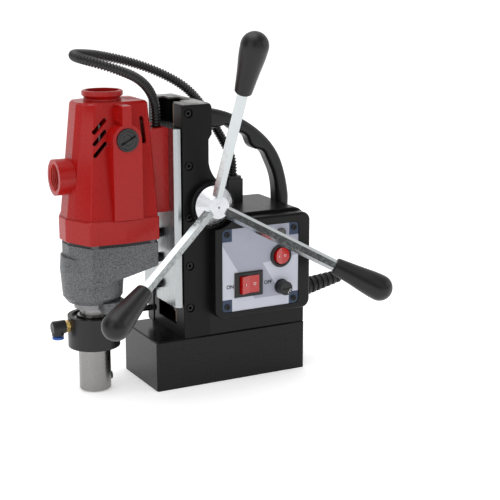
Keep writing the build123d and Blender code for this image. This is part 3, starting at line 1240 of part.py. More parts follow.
with BuildPart() as fan_baffle:
    with BuildSketch(Plane.XY.offset(CASE_TOP)):
        add(case_plan(0.8))
        with Locations((MOTOR_X, 0)):
            Circle(15.0, mode=Mode.SUBTRACT)
        with Locations((SPINDLE_X, 0)):
            Circle(7.0, mode=Mode.SUBTRACT)
        with Locations(*CASE_SCREWS):
            Circle(5.0 + SCREW, mode=Mode.SUBTRACT)
    extrude(amount=RED_BOTTOM - CASE_TOP)
save(fan_baffle, "fan_baffle")

with BuildPart() as gear_plate:
    with BuildSketch(Plane.XY.offset(PLATE_Z)):
        add(case_plan(4.0 + SEAT))
        with Locations(*CASE_SCREWS):
            Circle(5.0 + SCREW, mode=Mode.SUBTRACT)
    extrude(amount=PLATE_H)
    for x, y, radius, through in ((MOTOR_X, 0, BEARING_2_R, ARM_SHAFT_R + 2), (SPINDLE_X, 0, SPINDLE_SEAT_R, 8.2),
                                  (IDLER_X, IDLER_Y, 7.0, 5.0)):
        with BuildSketch(Plane.XY.offset(PLATE_Z - 1)):
            with Locations((x, y)):
                Circle(radius + SEAT)
        extrude(amount=PLATE_H + 0.6 - 0.8 + 0.2, mode=Mode.SUBTRACT)
        with BuildSketch(Plane.XY.offset(PLATE_Z - 1)):
            with Locations((x, y)):
                Circle(through)
        extrude(amount=PLATE_H + 3, mode=Mode.SUBTRACT)
save(gear_plate, "gear_plate")

BEARING_H = PLATE_H - 1.2
with BuildPart() as spindle_bearings:
    with BuildSketch(Plane.XY.offset(LOWER_BEARING_Z)):
        with Locations((SPINDLE_X, 0)):
            Circle(LOWER_BEARING_R)
            Circle(ARBOR_UPPER_R + RUN, mode=Mode.SUBTRACT)
    extrude(amount=LOWER_BEARING_H)
    with BuildSketch(Plane.XY.offset(PLATE_Z + 0.2)):
        with Locations((SPINDLE_X, 0)):
            Circle(SPINDLE_SEAT_R)
            Circle(SPINDLE_TOP_R - 1.5 + RUN, mode=Mode.SUBTRACT)
    extrude(amount=BEARING_H)
save(spindle_bearings, "spindle_bearings")

with BuildPart() as idler_bearings:
    with BuildSketch(Plane.XY.offset(104)):
        with Locations((IDLER_X, IDLER_Y)):
            Circle(8.5 - SEAT)
            Circle(IDLER_SHAFT_R + RUN, mode=Mode.SUBTRACT)
    extrude(amount=6)
    with BuildSketch(Plane.XY.offset(PLATE_Z + 0.2)):
        with Locations((IDLER_X, IDLER_Y)):
            Circle(7.0)
            Circle(IDLER_SHAFT_R + RUN, mode=Mode.SUBTRACT)
    extrude(amount=BEARING_H)
save(idler_bearings, "idler_bearings")

MESH_2 = atan2(-IDLER_Y, SPINDLE_X - IDLER_X)
WHEEL_1_H = 9.0
with BuildPart() as idler_gear:
    with BuildSketch(Plane.XY.offset(104.6)):
        with Locations((IDLER_X, IDLER_Y)):
            Circle(IDLER_SHAFT_R)
    extrude(amount=PLATE_Z + BEARING_H - 104.6)
    with BuildSketch(Plane.XY.offset(PINION_1_Z + 0.4)):
        with Locations((IDLER_X, IDLER_Y)):
            add(gear_sketch(GEAR_1, TEETH_1B, start=MESH_1 + pi + pi / TEETH_1B))
    extrude(amount=WHEEL_1_H)
    with BuildSketch(Plane.XY.offset(112)):
        with Locations((IDLER_X, IDLER_Y)):
            add(gear_sketch(GEAR_2, TEETH_2A, start=MESH_2))
    extrude(amount=PINION_1_Z + 0.4 - 112)
save(idler_gear, "idler_gear")

SPINDLE_WHEEL_Z, SPINDLE_WHEEL_H = 113.0, 12.0
with BuildPart() as spindle_gear:
    with BuildSketch(Plane.XY.offset(SPINDLE_WHEEL_Z)):
        with Locations((SPINDLE_X, 0)):
            add(gear_sketch(GEAR_2, TEETH_2B, start=MESH_2 + pi + pi / TEETH_2B))
            Circle(ARBOR_UPPER_R + SEAT, mode=Mode.SUBTRACT)
    extrude(amount=SPINDLE_WHEEL_H)
save(spindle_gear, "spindle_gear")

# =============================== arbor and coolant collar =======================================
PILOT_R = 3.2
SET_SCREW_Z = 11.0
COLLAR_RECESS_R = 21.0
NIPPLE_Z, NIPPLE_HOLE_R = 67.5, 3.6
CHANNEL_Z, CHANNEL_H = 60.5, 5.0
with BuildPart() as arbor:
    with BuildSketch(Plane.XZ):
        with Locations((SPINDLE_X, 0)):
            Polygon((0, ARBOR_END), (ARBOR_R - 1, ARBOR_END), (ARBOR_R, ARBOR_END + 1), (ARBOR_R, COLLAR_TOP + 0.5),
                    (ARBOR_UPPER_R + 3.5, COLLAR_TOP + 0.5), (ARBOR_UPPER_R + 3.5, LOWER_BEARING_Z - 0.2),
                    (ARBOR_UPPER_R, LOWER_BEARING_Z - 0.2), (ARBOR_UPPER_R, 126), (SPINDLE_TOP_R - 1.5, 126),
                    (SPINDLE_TOP_R - 1.5, PLATE_Z + BEARING_H), (0, PLATE_Z + BEARING_H), align=None)
    revolve(axis=Axis((SPINDLE_X, 0, 0), (0, 0, 1)))
    with BuildSketch(Plane.XY.offset(ARBOR_END)):
        with Locations((SPINDLE_X, 0)):
            Circle(WELDON_R)
    extrude(amount=WELDON_DEPTH, mode=Mode.SUBTRACT)
    with BuildSketch(Plane.XY.offset(ARBOR_END)):
        with Locations((SPINDLE_X, 0)):
            Circle(PILOT_R)
    extrude(amount=WELDON_DEPTH + 42, mode=Mode.SUBTRACT)
    for plane in (Plane(origin=(SPINDLE_X, 0, SET_SCREW_Z), z_dir=(1, 0, 0)),
                  Plane(origin=(SPINDLE_X, 0, SET_SCREW_Z), z_dir=(0, 1, 0))):
        with BuildSketch(plane):
            Circle(4.0 + SEAT)
        extrude(amount=20, mode=Mode.SUBTRACT)
    # cross hole that leads the coolant in
    with BuildSketch(Plane(origin=(SPINDLE_X, 0, CHANNEL_Z + CHANNEL_H / 2), z_dir=(1, 0, 0))):
        Circle(1.5)
    extrude(amount=20, both=True, mode=Mode.SUBTRACT)
save(arbor, "arbor")

with BuildPart() as arbor_screws:
    for plane in (Plane(origin=(SPINDLE_X, 0, SET_SCREW_Z), z_dir=(1, 0, 0)),
                  Plane(origin=(SPINDLE_X, 0, SET_SCREW_Z), z_dir=(0, 1, 0))):
        with BuildSketch(plane.offset(WELDON_R + 0.6)):
            Circle(4.0)
        extrude(amount=ARBOR_R - WELDON_R + 0.9)
        with BuildSketch(plane.offset(ARBOR_R + 1.5)):
            RegularPolygon(2.0, 6, major_radius=False)
        extrude(amount=-4, mode=Mode.SUBTRACT)
save(arbor_screws, "arbor_screws")

COLLAR_IN = ARBOR_R + RUN
SEAL_ZS = (50.5, 68.5)
with BuildPart() as coolant_collar:
    with BuildSketch(Plane.XY.offset(COLLAR_BOTTOM)):
        with Locations((SPINDLE_X, 0)):
            Circle(COLLAR_R)
            Circle(COLLAR_IN, mode=Mode.SUBTRACT)
    extrude(amount=COLLAR_TOP - COLLAR_BOTTOM)
    with BuildSketch(Plane.XY.offset(COLLAR_TOP - 4.5)):
        with Locations((SPINDLE_X, 0)):
            Circle(COLLAR_RECESS_R)
    extrude(amount=4.5, mode=Mode.SUBTRACT)
    for z in SEAL_ZS:
        with BuildSketch(Plane.XY.offset(z - 1.2)):
            with Locations((SPINDLE_X, 0)):
                Circle(COLLAR_IN + 2.0)
        extrude(amount=2.4, mode=Mode.SUBTRACT)
    # the channel that feeds the arbor's cross hole, and the way in from the nipple
    with BuildSketch(Plane.XY.offset(CHANNEL_Z)):
        with Locations((SPINDLE_X, 0)):
            Circle(COLLAR_IN + 2.5)
    extrude(amount=CHANNEL_H, mode=Mode.SUBTRACT)
    with BuildSketch(facing_front(SPINDLE_X - 10, 0, CHANNEL_Z + 4.2)):
        Circle(1.2)
    extrude(amount=COLLAR_R - 13, mode=Mode.SUBTRACT)
    with BuildSketch(facing_front(SPINDLE_X - COLLAR_R + 6, 0, NIPPLE_Z)):
        Circle(NIPPLE_HOLE_R + SEAT)
    extrude(amount=10, mode=Mode.SUBTRACT)
    with BuildSketch(Plane(origin=(SPINDLE_X + 10, STAY_Y, STAY_Z), x_dir=(0, 1, 0), z_dir=(1, 0, 0))):
        Circle(STAY_R - 0.5 + SEAT)
    extrude(amount=20, mode=Mode.SUBTRACT)
save(coolant_collar, "coolant_collar")

with BuildPart() as collar_seals:
    for z in SEAL_ZS:
        with BuildSketch(Plane.XY.offset(z - 1.2 + 0.02)):
            with Locations((SPINDLE_X, 0)):
                Circle(COLLAR_IN + 2.0 - 0.02)
                Circle(ARBOR_R + 0.02, mode=Mode.SUBTRACT)
        extrude(amount=2.36)
save(collar_seals, "collar_seals")

with BuildPart() as collar_snap_ring:
    with BuildSketch(Plane.XY.offset(COLLAR_TOP - 4.4)):
        with Locations((SPINDLE_X, 0)):
            Circle(COLLAR_RECESS_R - SEAT)
            Circle(ARBOR_R + 1.6, mode=Mode.SUBTRACT)
    extrude(amount=1.6)
save(collar_snap_ring, "collar_snap_ring")

NIPPLE_OUT = SPINDLE_X - COLLAR_R
ELBOW_START, LEG_X, ELBOW_END = NIPPLE_OUT - 4.6, NIPPLE_OUT - 11.7, NIPPLE_OUT - 17.5
ELBOW_R, LEG_R, TUBE_R = 6.5, 6.0, 3.2
LEG_END = 60.0
with BuildPart() as hose_nipple:
    with BuildSketch(facing_front(NIPPLE_OUT + 5.5, 0, NIPPLE_Z)):
        Circle(NIPPLE_HOLE_R)
    extrude(amount=NIPPLE_OUT + 5.5 - (ELBOW_START - 3.9))
    with BuildSketch(facing_front(NIPPLE_OUT - 0.2, 0, NIPPLE_Z)):
        RegularPolygon(5.2, 6, major_radius=False)
    extrude(amount=4.2)
    with BuildSketch(facing_front(NIPPLE_OUT + 6, 0, NIPPLE_Z)):
        Circle(1.8)
    extrude(amount=30, mode=Mode.SUBTRACT)
save(hose_nipple, "hose_nipple")

with BuildPart() as hose_elbow:
    with BuildSketch(facing_front(ELBOW_START, 0, NIPPLE_Z)):
        Circle(ELBOW_R)
    extrude(amount=ELBOW_START - ELBOW_END)
    chamfer(hose_elbow.edges().filter_by(GeomType.CIRCLE).group_by(Axis.X)[0], 1.2)
    with BuildSketch(Plane.XY.offset(LEG_END)):
        with Locations((LEG_X, 0)):
            Circle(LEG_R)
    extrude(amount=NIPPLE_Z - LEG_END)
    with BuildSketch(facing_front(ELBOW_START, 0, NIPPLE_Z)):
        Circle(NIPPLE_HOLE_R + RUN)
    extrude(amount=4.4, mode=Mode.SUBTRACT)
    with BuildSketch(facing_front(ELBOW_START, 0, NIPPLE_Z)):
        Circle(2.2)
    extrude(amount=8, mode=Mode.SUBTRACT)
    with BuildSketch(Plane.XY.offset(LEG_END - 1)):
        with Locations((LEG_X, 0)):
            Circle(TUBE_R + RUN)
    extrude(amount=11, mode=Mode.SUBTRACT)
save(hose_elbow, "hose_elbow")

RELEASE_THROW = 1.5
with BuildPart() as release_ring:
    with BuildSketch(Plane.XY.offset(LEG_END - RELEASE_THROW - 2.4)):
        with Locations((LEG_X, 0)):
            Circle(LEG_R - 0.4)
    extrude(amount=2.2)
    with BuildSketch(Plane.XY.offset(LEG_END - RELEASE_THROW - 2.4)):
        with Locations((LEG_X, 0)):
            Circle(TUBE_R)
    extrude(amount=11.4)
    with BuildSketch(Plane.XY.offset(LEG_END - RELEASE_THROW - 3)):
        with Locations((LEG_X, 0)):
            Circle(2.2)
    extrude(amount=14, mode=Mode.SUBTRACT)
save(release_ring, "release_ring")

BRACKET_T = 2.0
STAY_END = PLATE_FRONT + 3.5
STAY_SHOULDER = sqrt(COLLAR_R ** 2 - (STAY_Y - STAY_R) ** 2) + 0.3   # clear of the collar's round side
with BuildPart() as collar_stay:
    with BuildSketch(Plane(origin=(SPINDLE_X + STAY_SHOULDER - 7, STAY_Y, STAY_Z), x_dir=(0, 1, 0), z_dir=(1, 0, 0))):
        Circle(STAY_R - 0.5)
    extrude(amount=10)
    with BuildSketch(Plane(origin=(SPINDLE_X + STAY_SHOULDER, STAY_Y, STAY_Z), x_dir=(0, 1, 0), z_dir=(1, 0, 0))):
        Circle(STAY_R)
    extrude(amount=STAY_END - SPINDLE_X - STAY_SHOULDER)
save(collar_stay, "collar_stay")

with BuildPart() as stay_bracket:
    with BuildSketch(facing_front(PLATE_FRONT, STAY_Y, (56 + 96) / 2)):
        RectangleRounded(13, 40, 2)
    extrude(amount=BRACKET_T)
    with BuildSketch(facing_front(PLATE_FRONT, STAY_Y, STAY_Z)):
        Circle(STAY_R + SEAT)
    extrude(amount=BRACKET_T, mode=Mode.SUBTRACT)
    with BuildSketch(facing_front(PLATE_FRONT, STAY_Y, BRACKET_SCREW_Z)):
        Circle(2.5 + SCREW)
    extrude(amount=BRACKET_T, mode=Mode.SUBTRACT)
save(stay_bracket, "stay_bracket")

with BuildPart() as bracket_screw:
    with BuildSketch(facing_front(PLATE_FRONT - BRACKET_T, STAY_Y, BRACKET_SCREW_Z)):
        Circle(4.25)
    extrude(amount=4)
    with BuildSketch(facing_front(PLATE_FRONT - BRACKET_T, STAY_Y, BRACKET_SCREW_Z)):
        Circle(2.5)
    extrude(amount=-BRACKET_T - 5)
    with BuildSketch(facing_front(PLATE_FRONT - BRACKET_T - 4, STAY_Y, BRACKET_SCREW_Z)):
        RegularPolygon(2.0, 6, major_radius=False)
    extrude(amount=-2.4, mode=Mode.SUBTRACT)
save(bracket_screw, "bracket_screw")

# =============================== conduit ========================================================
route = [Vector(*p) for p in CONDUIT_ROUTE]
bends = []
for before, here, after in zip(route, route[1:], route[2:]):
    turn = radians((here - before).get_angle(after - here))
    bends.append(round(0.45 * min((here - before).length, (after - here).length) / tan(turn / 2), 2))
print("bend radii", bends)
with BuildPart() as conduit:
    with BuildLine() as path:
        FilletPolyline(*route, radius=bends)
    with BuildSketch(Plane(origin=route[0], z_dir=(path.line % 0))):
        Circle(CONDUIT_R)
    sweep(path=path.line)
save(conduit, "conduit")
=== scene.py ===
"""Magnetic drill press: camera, soft studio, finishes and the finely made pieces.

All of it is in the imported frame, in metres. The drill head is towards -X, the operator and the
switch panel are towards -Y, and the foot stands on z = 0.
"""
import math

import bpy
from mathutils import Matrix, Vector


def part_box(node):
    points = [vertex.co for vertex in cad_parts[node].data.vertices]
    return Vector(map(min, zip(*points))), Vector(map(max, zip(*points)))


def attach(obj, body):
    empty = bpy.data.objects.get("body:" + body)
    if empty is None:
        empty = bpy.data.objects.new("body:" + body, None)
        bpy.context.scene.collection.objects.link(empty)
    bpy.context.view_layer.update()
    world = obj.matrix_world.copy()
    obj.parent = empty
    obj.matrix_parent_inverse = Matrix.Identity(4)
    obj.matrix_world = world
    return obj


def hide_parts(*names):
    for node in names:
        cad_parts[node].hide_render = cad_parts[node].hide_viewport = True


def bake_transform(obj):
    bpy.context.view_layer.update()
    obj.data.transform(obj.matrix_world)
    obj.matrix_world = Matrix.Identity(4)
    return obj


MM = 0.001
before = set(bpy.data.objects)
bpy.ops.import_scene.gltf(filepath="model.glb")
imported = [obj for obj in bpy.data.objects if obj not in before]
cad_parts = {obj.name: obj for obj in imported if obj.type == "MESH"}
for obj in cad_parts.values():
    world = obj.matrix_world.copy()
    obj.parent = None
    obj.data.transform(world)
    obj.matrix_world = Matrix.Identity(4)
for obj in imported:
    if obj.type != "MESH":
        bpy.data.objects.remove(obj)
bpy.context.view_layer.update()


# ---------------------------------------------------------------- camera, light and floor
LENS, SENSOR_WIDTH = 93.6, 36.0
CAMERA_PLACE = (-0.5674, -1.1467, 0.4366)
CAMERA_TILT, CAMERA_TURN = math.radians(76.31), math.radians(-27.96)

ROOM_AXIS = (0.47, 0.88, 0.1)           # points away behind the machine
ROOM_DIM, ROOM_BRIGHT = 0.1, 0.85       # the room's strength in front and behind
DIM_UNTIL, BRIGHT_FROM = -0.3, 0.6      # the places along the axis where those two end and begin
SEEN_STRENGTH = 1.0                     # the white that the camera itself sees

LIT_POINT = (-0.03, 0, 0.17)
LAMPS = [                               # name, place, side and power of each square lamp
    ("key_left", (-1.5, -0.8, 0.8), 1.3, 6.5),
    ("front", (0.2, -1.7, 0.9), 1.1, 3.2),
    ("right", (1.3, -0.9, 0.7), 0.8, 3),
    ("top", (-0.2, 0.2, 1.5), 1.2, 6),
]
SUN_POWER, SUN_SPREAD = 1.0, math.radians(60)
SUN_TURN = (math.radians(12), math.radians(-14), 0)

FLOOR_HALF = 12.0
FLOOR_GLOW = 0.38


def place_object(name, data):
    thing = bpy.data.objects.new(name, data)
    bpy.context.collection.objects.link(thing)
    return thing


def fill(node, values):
    """Sets a node's inputs by their names."""
    for name, value in values.items():
        node.inputs[name].default_value = value


def make_camera():
    data = bpy.data.cameras.new("camera")
    data.lens, data.sensor_width = LENS, SENSOR_WIDTH
    camera = place_object("camera", data)
    camera.location = CAMERA_PLACE
    camera.rotation_euler = (CAMERA_TILT, 0.0, CAMERA_TURN)
    bpy.context.scene.camera = camera


def make_room():
    """A world that is white to the camera; to the machine it is white behind and dim in front."""
    world = bpy.data.worlds.new("studio")
    world.use_nodes = True
    nodes, links = world.node_tree.nodes, world.node_tree.links
    background = nodes["Background"]
    path = nodes.new("ShaderNodeLightPath")
    place = nodes.new("ShaderNodeTexCoord")
    along = nodes.new("ShaderNodeVectorMath")
    along.operation = "DOT_PRODUCT"
    along.inputs[1].default_value = ROOM_AXIS
    room = nodes.new("ShaderNodeMapRange")
    fill(room, {"From Min": DIM_UNTIL, "From Max": BRIGHT_FROM,
                "To Min": ROOM_DIM, "To Max": ROOM_BRIGHT})
    seen = nodes.new("ShaderNodeMix")
    fill(seen, {"B": SEEN_STRENGTH})
    fill(background, {"Color": (1.0, 1.0, 1.0, 1)})
    links.new(place.outputs["Generated"], along.inputs[0])
    links.new(along.outputs["Value"], room.inputs["Value"])
    links.new(path.outputs["Is Camera Ray"], seen.inputs["Factor"])
    links.new(room.outputs["Result"], seen.inputs["A"])
    links.new(seen.outputs["Result"], background.inputs["Strength"])
    bpy.context.scene.world = world


def make_studio():
    make_room()
    for name, place, side, power in LAMPS:
        data = bpy.data.lights.new(name, "AREA")
        data.shape, data.size, data.energy = "SQUARE", side, power
        lamp = place_object(name, data)
        lamp.location = place
        aim = Vector(LIT_POINT) - Vector(place)
        lamp.rotation_euler = aim.to_track_quat("-Z", "Y").to_euler()
    sun = bpy.data.lights.new("wide", "SUN")
    sun.energy, sun.angle = SUN_POWER, SUN_SPREAD
    place_object("wide", sun).rotation_euler = SUN_TURN
    bpy.context.scene.view_settings.view_transform = "Standard"


def make_floor():
    """A plain white floor, faintly lit from within so that it stays white far off."""
    corners = [(FLOOR_HALF * x, FLOOR_HALF * y, 0) for x, y in ((-1, -1), (1, -1), (1, 1), (-1, 1))]
    mesh = bpy.data.meshes.new("floor")
    mesh.from_pydata(corners, [], [(0, 1, 2, 3)])
    floor = place_object("floor", mesh)
    paint = surface("floor_paint", (0.92, 0.92, 0.92), 0.65, vary=0.004)
    fill(paint.node_tree.nodes["Principled BSDF"],
         {"Emission Color": (1, 1, 1, 1), "Emission Strength": FLOOR_GLOW})
    mesh.materials.append(paint)


# ---------------------------------------------------------------- finishes
NOISE_LOW, NOISE_HIGH = 0.3, 0.7        # most of a noise lies between these
COAT_ROUGH = 0.12
BLACK = (0.0045, 0.0045, 0.005)
BRUSH_CAP_MIDDLE = (-0.1094, 0.0, 0.251)
CAP_GROOVES = (8.6 * MM, 4.9 * MM)      # radii of the two rings moulded in a brush cap


def tinted(color, factor):
    """A colour made darker or lighter."""
    return tuple(min(1, c * factor) for c in color)


def box_middle(name):
    low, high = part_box(name)
    return (Vector(low) + Vector(high)) / 2


class Nodes:
    """A new material's node tree, with short calls to add nodes and join them."""

    def __init__(self, name, values):
        self.material = bpy.data.materials.new(name)
        self.material.use_nodes = True
        self.tree = self.material.node_tree
        self.shader = self.tree.nodes["Principled BSDF"]
        fill(self.shader, values)
        self.coords = self.add("TexCoord").outputs["Object"]

    def add(self, kind, **settings):
        node = self.tree.nodes.new("ShaderNode" + kind)
        for key, value in settings.items():
            setattr(node, key, value)
        return node

    def put(self, value, socket):
        """Links an output to a socket, or sets the socket to a number or a colour."""
        if hasattr(value, "links"):
            self.tree.links.new(value, socket)
        elif socket.type == "RGBA":
            socket.default_value = (*value, 1)
        else:
            socket.default_value = value

    def shade(self, name, value):
        """Feeds one of the shader's sockets."""
        self.put(value, self.shader.inputs[name])

    def axes(self):
        """The x, y and z of each point, as outputs."""
        node = self.add("SeparateXYZ")
        self.put(self.coords, node.inputs["Vector"])
        return node.outputs

    def noise(self, scale, detail=3.0, stretch=(1, 1, 1)):
        mapping = self.add("Mapping")
        fill(mapping, {"Scale": stretch})
        self.put(self.coords, mapping.inputs["Vector"])
        node = self.add("TexNoise")
        fill(node, {"Scale": scale, "Detail": detail})
        self.put(mapping.outputs["Vector"], node.inputs["Vector"])
        return node.outputs["Fac"]

    def ramp(self, value, low, high, start=0.0, end=1.0):
        """Takes start to low and end to high, and stays there beyond them."""
        node = self.add("MapRange")
        fill(node, {"From Min": start, "From Max": end, "To Min": low, "To Max": high})
        self.put(value, node.inputs["Value"])
        return node.outputs["Result"]

    def spread(self, noise, low, high):
        """Stretches a noise so that it fills low to high."""
        return self.ramp(noise, low, high, NOISE_LOW, NOISE_HIGH)

    def mix(self, factor, first, second):
        """Mixes two colours; a Mix node keeps its colours in inputs 6 and 7 and in output 2."""
        node = self.add("Mix", data_type="RGBA")
        for value, k in ((factor, 0), (first, 6), (second, 7)):
            self.put(value, node.inputs[k])
        return node.outputs[2]

    def calc(self, operation, *values):
        node = self.add("Math", operation=operation)
        for value, socket in zip(values, node.inputs):
            self.put(value, socket)
        return node.outputs[0]

    def radius(self, place, centre, axis):
        """Each point's distance from a line through centre along axis 0, 1 or 2."""
        squares = [self.calc("POWER", self.calc("SUBTRACT", place[k], centre[k]), 2.0)
                   for k in range(3) if k != axis]
        return self.calc("SQRT", self.calc("ADD", *squares))

    def bump(self, height, distance):
        node = self.add("Bump")
        fill(node, {"Strength": 1.0, "Distance": distance})
        self.put(height, node.inputs["Height"])
        self.shade("Normal", node.outputs["Normal"])


def surface(name, color, rough, metal=0.0, coat=0.0, vary=0.12, rough_vary=0.06, grain=900.0,
            depth=0.0, stretch=(1, 1, 1), specular=0.5):
    """A finish whose colour varies slowly and whose gloss and relief have a fine grain."""
    n = Nodes(name, {"Metallic": metal, "Coat Weight": coat, "Coat Roughness": COAT_ROUGH,
                     "Specular IOR Level": specular})
    slow = n.noise(35.0, 4.0)
    n.shade("Base Color", n.mix(slow, tinted(color, 1 - vary), tinted(color, 1 + vary)))
    fine = n.noise(grain, 2.0, stretch)
    low, high = max(0.02, rough - rough_vary), min(1, rough + rough_vary)
    n.shade("Roughness", n.spread(fine, low, high))
    if depth:
        n.bump(fine, depth)
    return n.material


def hammered_grey():
    """Hammer-finish enamel: small dimples with painted shade darkening their pits, and light
    specks.
    """
    n = Nodes("hammered_grey", {"Metallic": 0.35})
    cells = n.add("TexVoronoi", feature="SMOOTH_F1")
    fill(cells, {"Scale": 900.0})
    n.put(n.coords, cells.inputs["Vector"])
    pits = n.ramp(cells.outputs["Distance"], 0.0, 1.0, 0.1, 0.62)
    # painted shade: the enamel colour is darker down in each pit
    pit_shaded_enamel = n.mix(pits, (0.17, 0.174, 0.182), (0.07, 0.072, 0.077))
    specks = n.ramp(n.noise(1300.0), 0.0, 0.6, 0.55, 0.75)
    n.shade("Base Color", n.mix(specks, pit_shaded_enamel, (0.27, 0.275, 0.285)))
    n.shade("Roughness", n.ramp(pits, 0.28, 0.5))
    n.bump(n.ramp(pits, 1.0, 0.0), 0.2 * MM)
    return n.material


def brushed_steel(name, color, rough, stretch, depth=0.02 * MM, scale=450.0):
    """Ground steel with fine lines along one direction and some duller areas."""
    n = Nodes(name, {"Metallic": 1.0})
    lines = n.noise(scale, 4.0, stretch)
    shade = n.mix(lines, tinted(color, 0.82), tinted(color, 1.12))
    dull = n.ramp(n.noise(14.0), 0.0, 0.35, 0.4, 0.7)
    n.shade("Base Color", n.mix(dull, shade, tinted(color, 0.75)))
    n.shade("Roughness", n.spread(lines, rough - 0.07, rough + 0.09))
    n.bump(lines, depth)
    return n.material


def turned_metal(name, color, rough, piece, axis, pitch):
    """Metal with the faint rings that a lathe leaves round a piece's middle line."""
    n = Nodes(name, {"Metallic": 1.0})
    place = n.axes()
    k = "XYZ".index(axis)
    spiral = n.calc("ADD", n.radius(place, box_middle(piece), k), place[k])
    rings = n.calc("SINE", n.calc("MULTIPLY", spiral, 2 * math.pi / pitch))
    smear = n.noise(60.0)
    n.shade("Base Color", n.mix(smear, tinted(color, 0.85), tinted(color, 1.08)))
    n.shade("Roughness", n.spread(smear, rough - 0.05, rough + 0.08))
    n.bump(n.ramp(rings, 0.0, 1.0, -1.0, 1.0), 0.012 * MM)
    return n.material


def panel_print():
    """The switch panel's print: grey with paler slanting bands and navy corner blocks."""
    slant, slope = 0.62, 0.12           # of the bands' left edges and of the low band's top
    first_edge, band_gap = -26.5 * MM, 31.0 * MM
    low_top, foot_top = 3.5 * MM, -31.5 * MM
    block_x, block_z = 10.5 * MM, 12.5 * MM
    n = Nodes("panel_print", {})
    low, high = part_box("panel_plate")
    half = (Vector(high) - Vector(low)) / 2
    middle = box_middle("panel_plate")
    place = n.axes()
    x, z = (n.calc("SUBTRACT", place[k], middle[k]) for k in (0, 2))
    edge = n.calc("SUBTRACT", first_edge, n.calc("MULTIPLY", z, slant))
    left = n.calc("LESS_THAN", x, edge)
    below = n.calc("LESS_THAN", z, n.calc("ADD", low_top, n.calc("MULTIPLY", x, slope)))
    past = n.calc("GREATER_THAN", x, n.calc("ADD", edge, band_gap))
    foot = n.calc("LESS_THAN", z, foot_top)
    pale = n.calc("MAXIMUM", n.calc("MAXIMUM", left, n.calc("MULTIPLY", below, past)), foot)
    grey = n.mix(n.noise(60.0), (0.33, 0.345, 0.42), (0.39, 0.4, 0.48))
    bands = n.mix(pale, grey, (0.56, 0.58, 0.66))
    side = n.calc("GREATER_THAN", n.calc("ABSOLUTE", x), half.x - block_x)
    end = n.calc("GREATER_THAN", n.calc("ABSOLUTE", z), half.z - block_z)
    n.shade("Base Color", n.mix(n.calc("MULTIPLY", side, end), bands, (0.012, 0.035, 0.085)))
    n.shade("Roughness", n.ramp(n.noise(500.0), 0.3, 0.42))
    return n.material


def casting_with_top_highlight():
    """Black enamelled casting with a painted highlight in pale, partly metallic patches along its
    top.
    """
    highlight_depth = 1.5 * MM
    n = Nodes("black_casting", {"Specular IOR Level": 0.18})
    _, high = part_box("column")
    # painted highlight: the top 1.5 mm turns pale grey and partly metallic in noisy patches
    top = n.calc("GREATER_THAN", n.axes()[2], high[2] - highlight_depth)
    top_highlight = n.calc("MULTIPLY", top, n.ramp(n.noise(70.0, 5.0), 0.25, 1.0, 0.35, 0.6))
    paint = n.mix(n.noise(35.0, 4.0), tinted(BLACK, 0.85), tinted(BLACK, 1.15))
    n.shade("Base Color", n.mix(top_highlight, paint, (0.42, 0.42, 0.41)))
    n.shade("Metallic", n.calc("MULTIPLY", top_highlight, 0.7))
    fine = n.noise(650.0, 2.0)
    n.shade("Roughness", n.spread(fine, 0.33, 0.43))
    n.bump(fine, 0.012 * MM)
    return n.material


def cap_plastic():
    """Black plastic with two shallow rings moulded round the brush caps' axis, darkened inside by
    painted shade.
    """
    sharpness = 1600.0                  # a groove is 1 over this wide to each side
    n = Nodes("brush_cap_plastic", {})
    radius = n.radius(n.axes(), BRUSH_CAP_MIDDLE, 1)
    steps = []
    for groove_r in CAP_GROOVES:
        off = n.calc("ABSOLUTE", n.calc("SUBTRACT", radius, groove_r))
        steps.append(n.calc("SUBTRACT", 1.0, n.calc("MULTIPLY", off, sharpness)))
    groove_and_shade = n.calc("MAXIMUM", n.calc("MAXIMUM", *steps), 0.0)
    # painted shade: the colour is darkened down in the two grooves
    n.shade("Base Color", n.mix(groove_and_shade, (0.014, 0.014, 0.016), (0.003, 0.003, 0.003)))
    n.shade("Roughness", n.spread(n.noise(900.0), 0.28, 0.42))
    n.bump(n.calc("SUBTRACT", 1.0, groove_and_shade), 0.6 * MM)
    return n.material


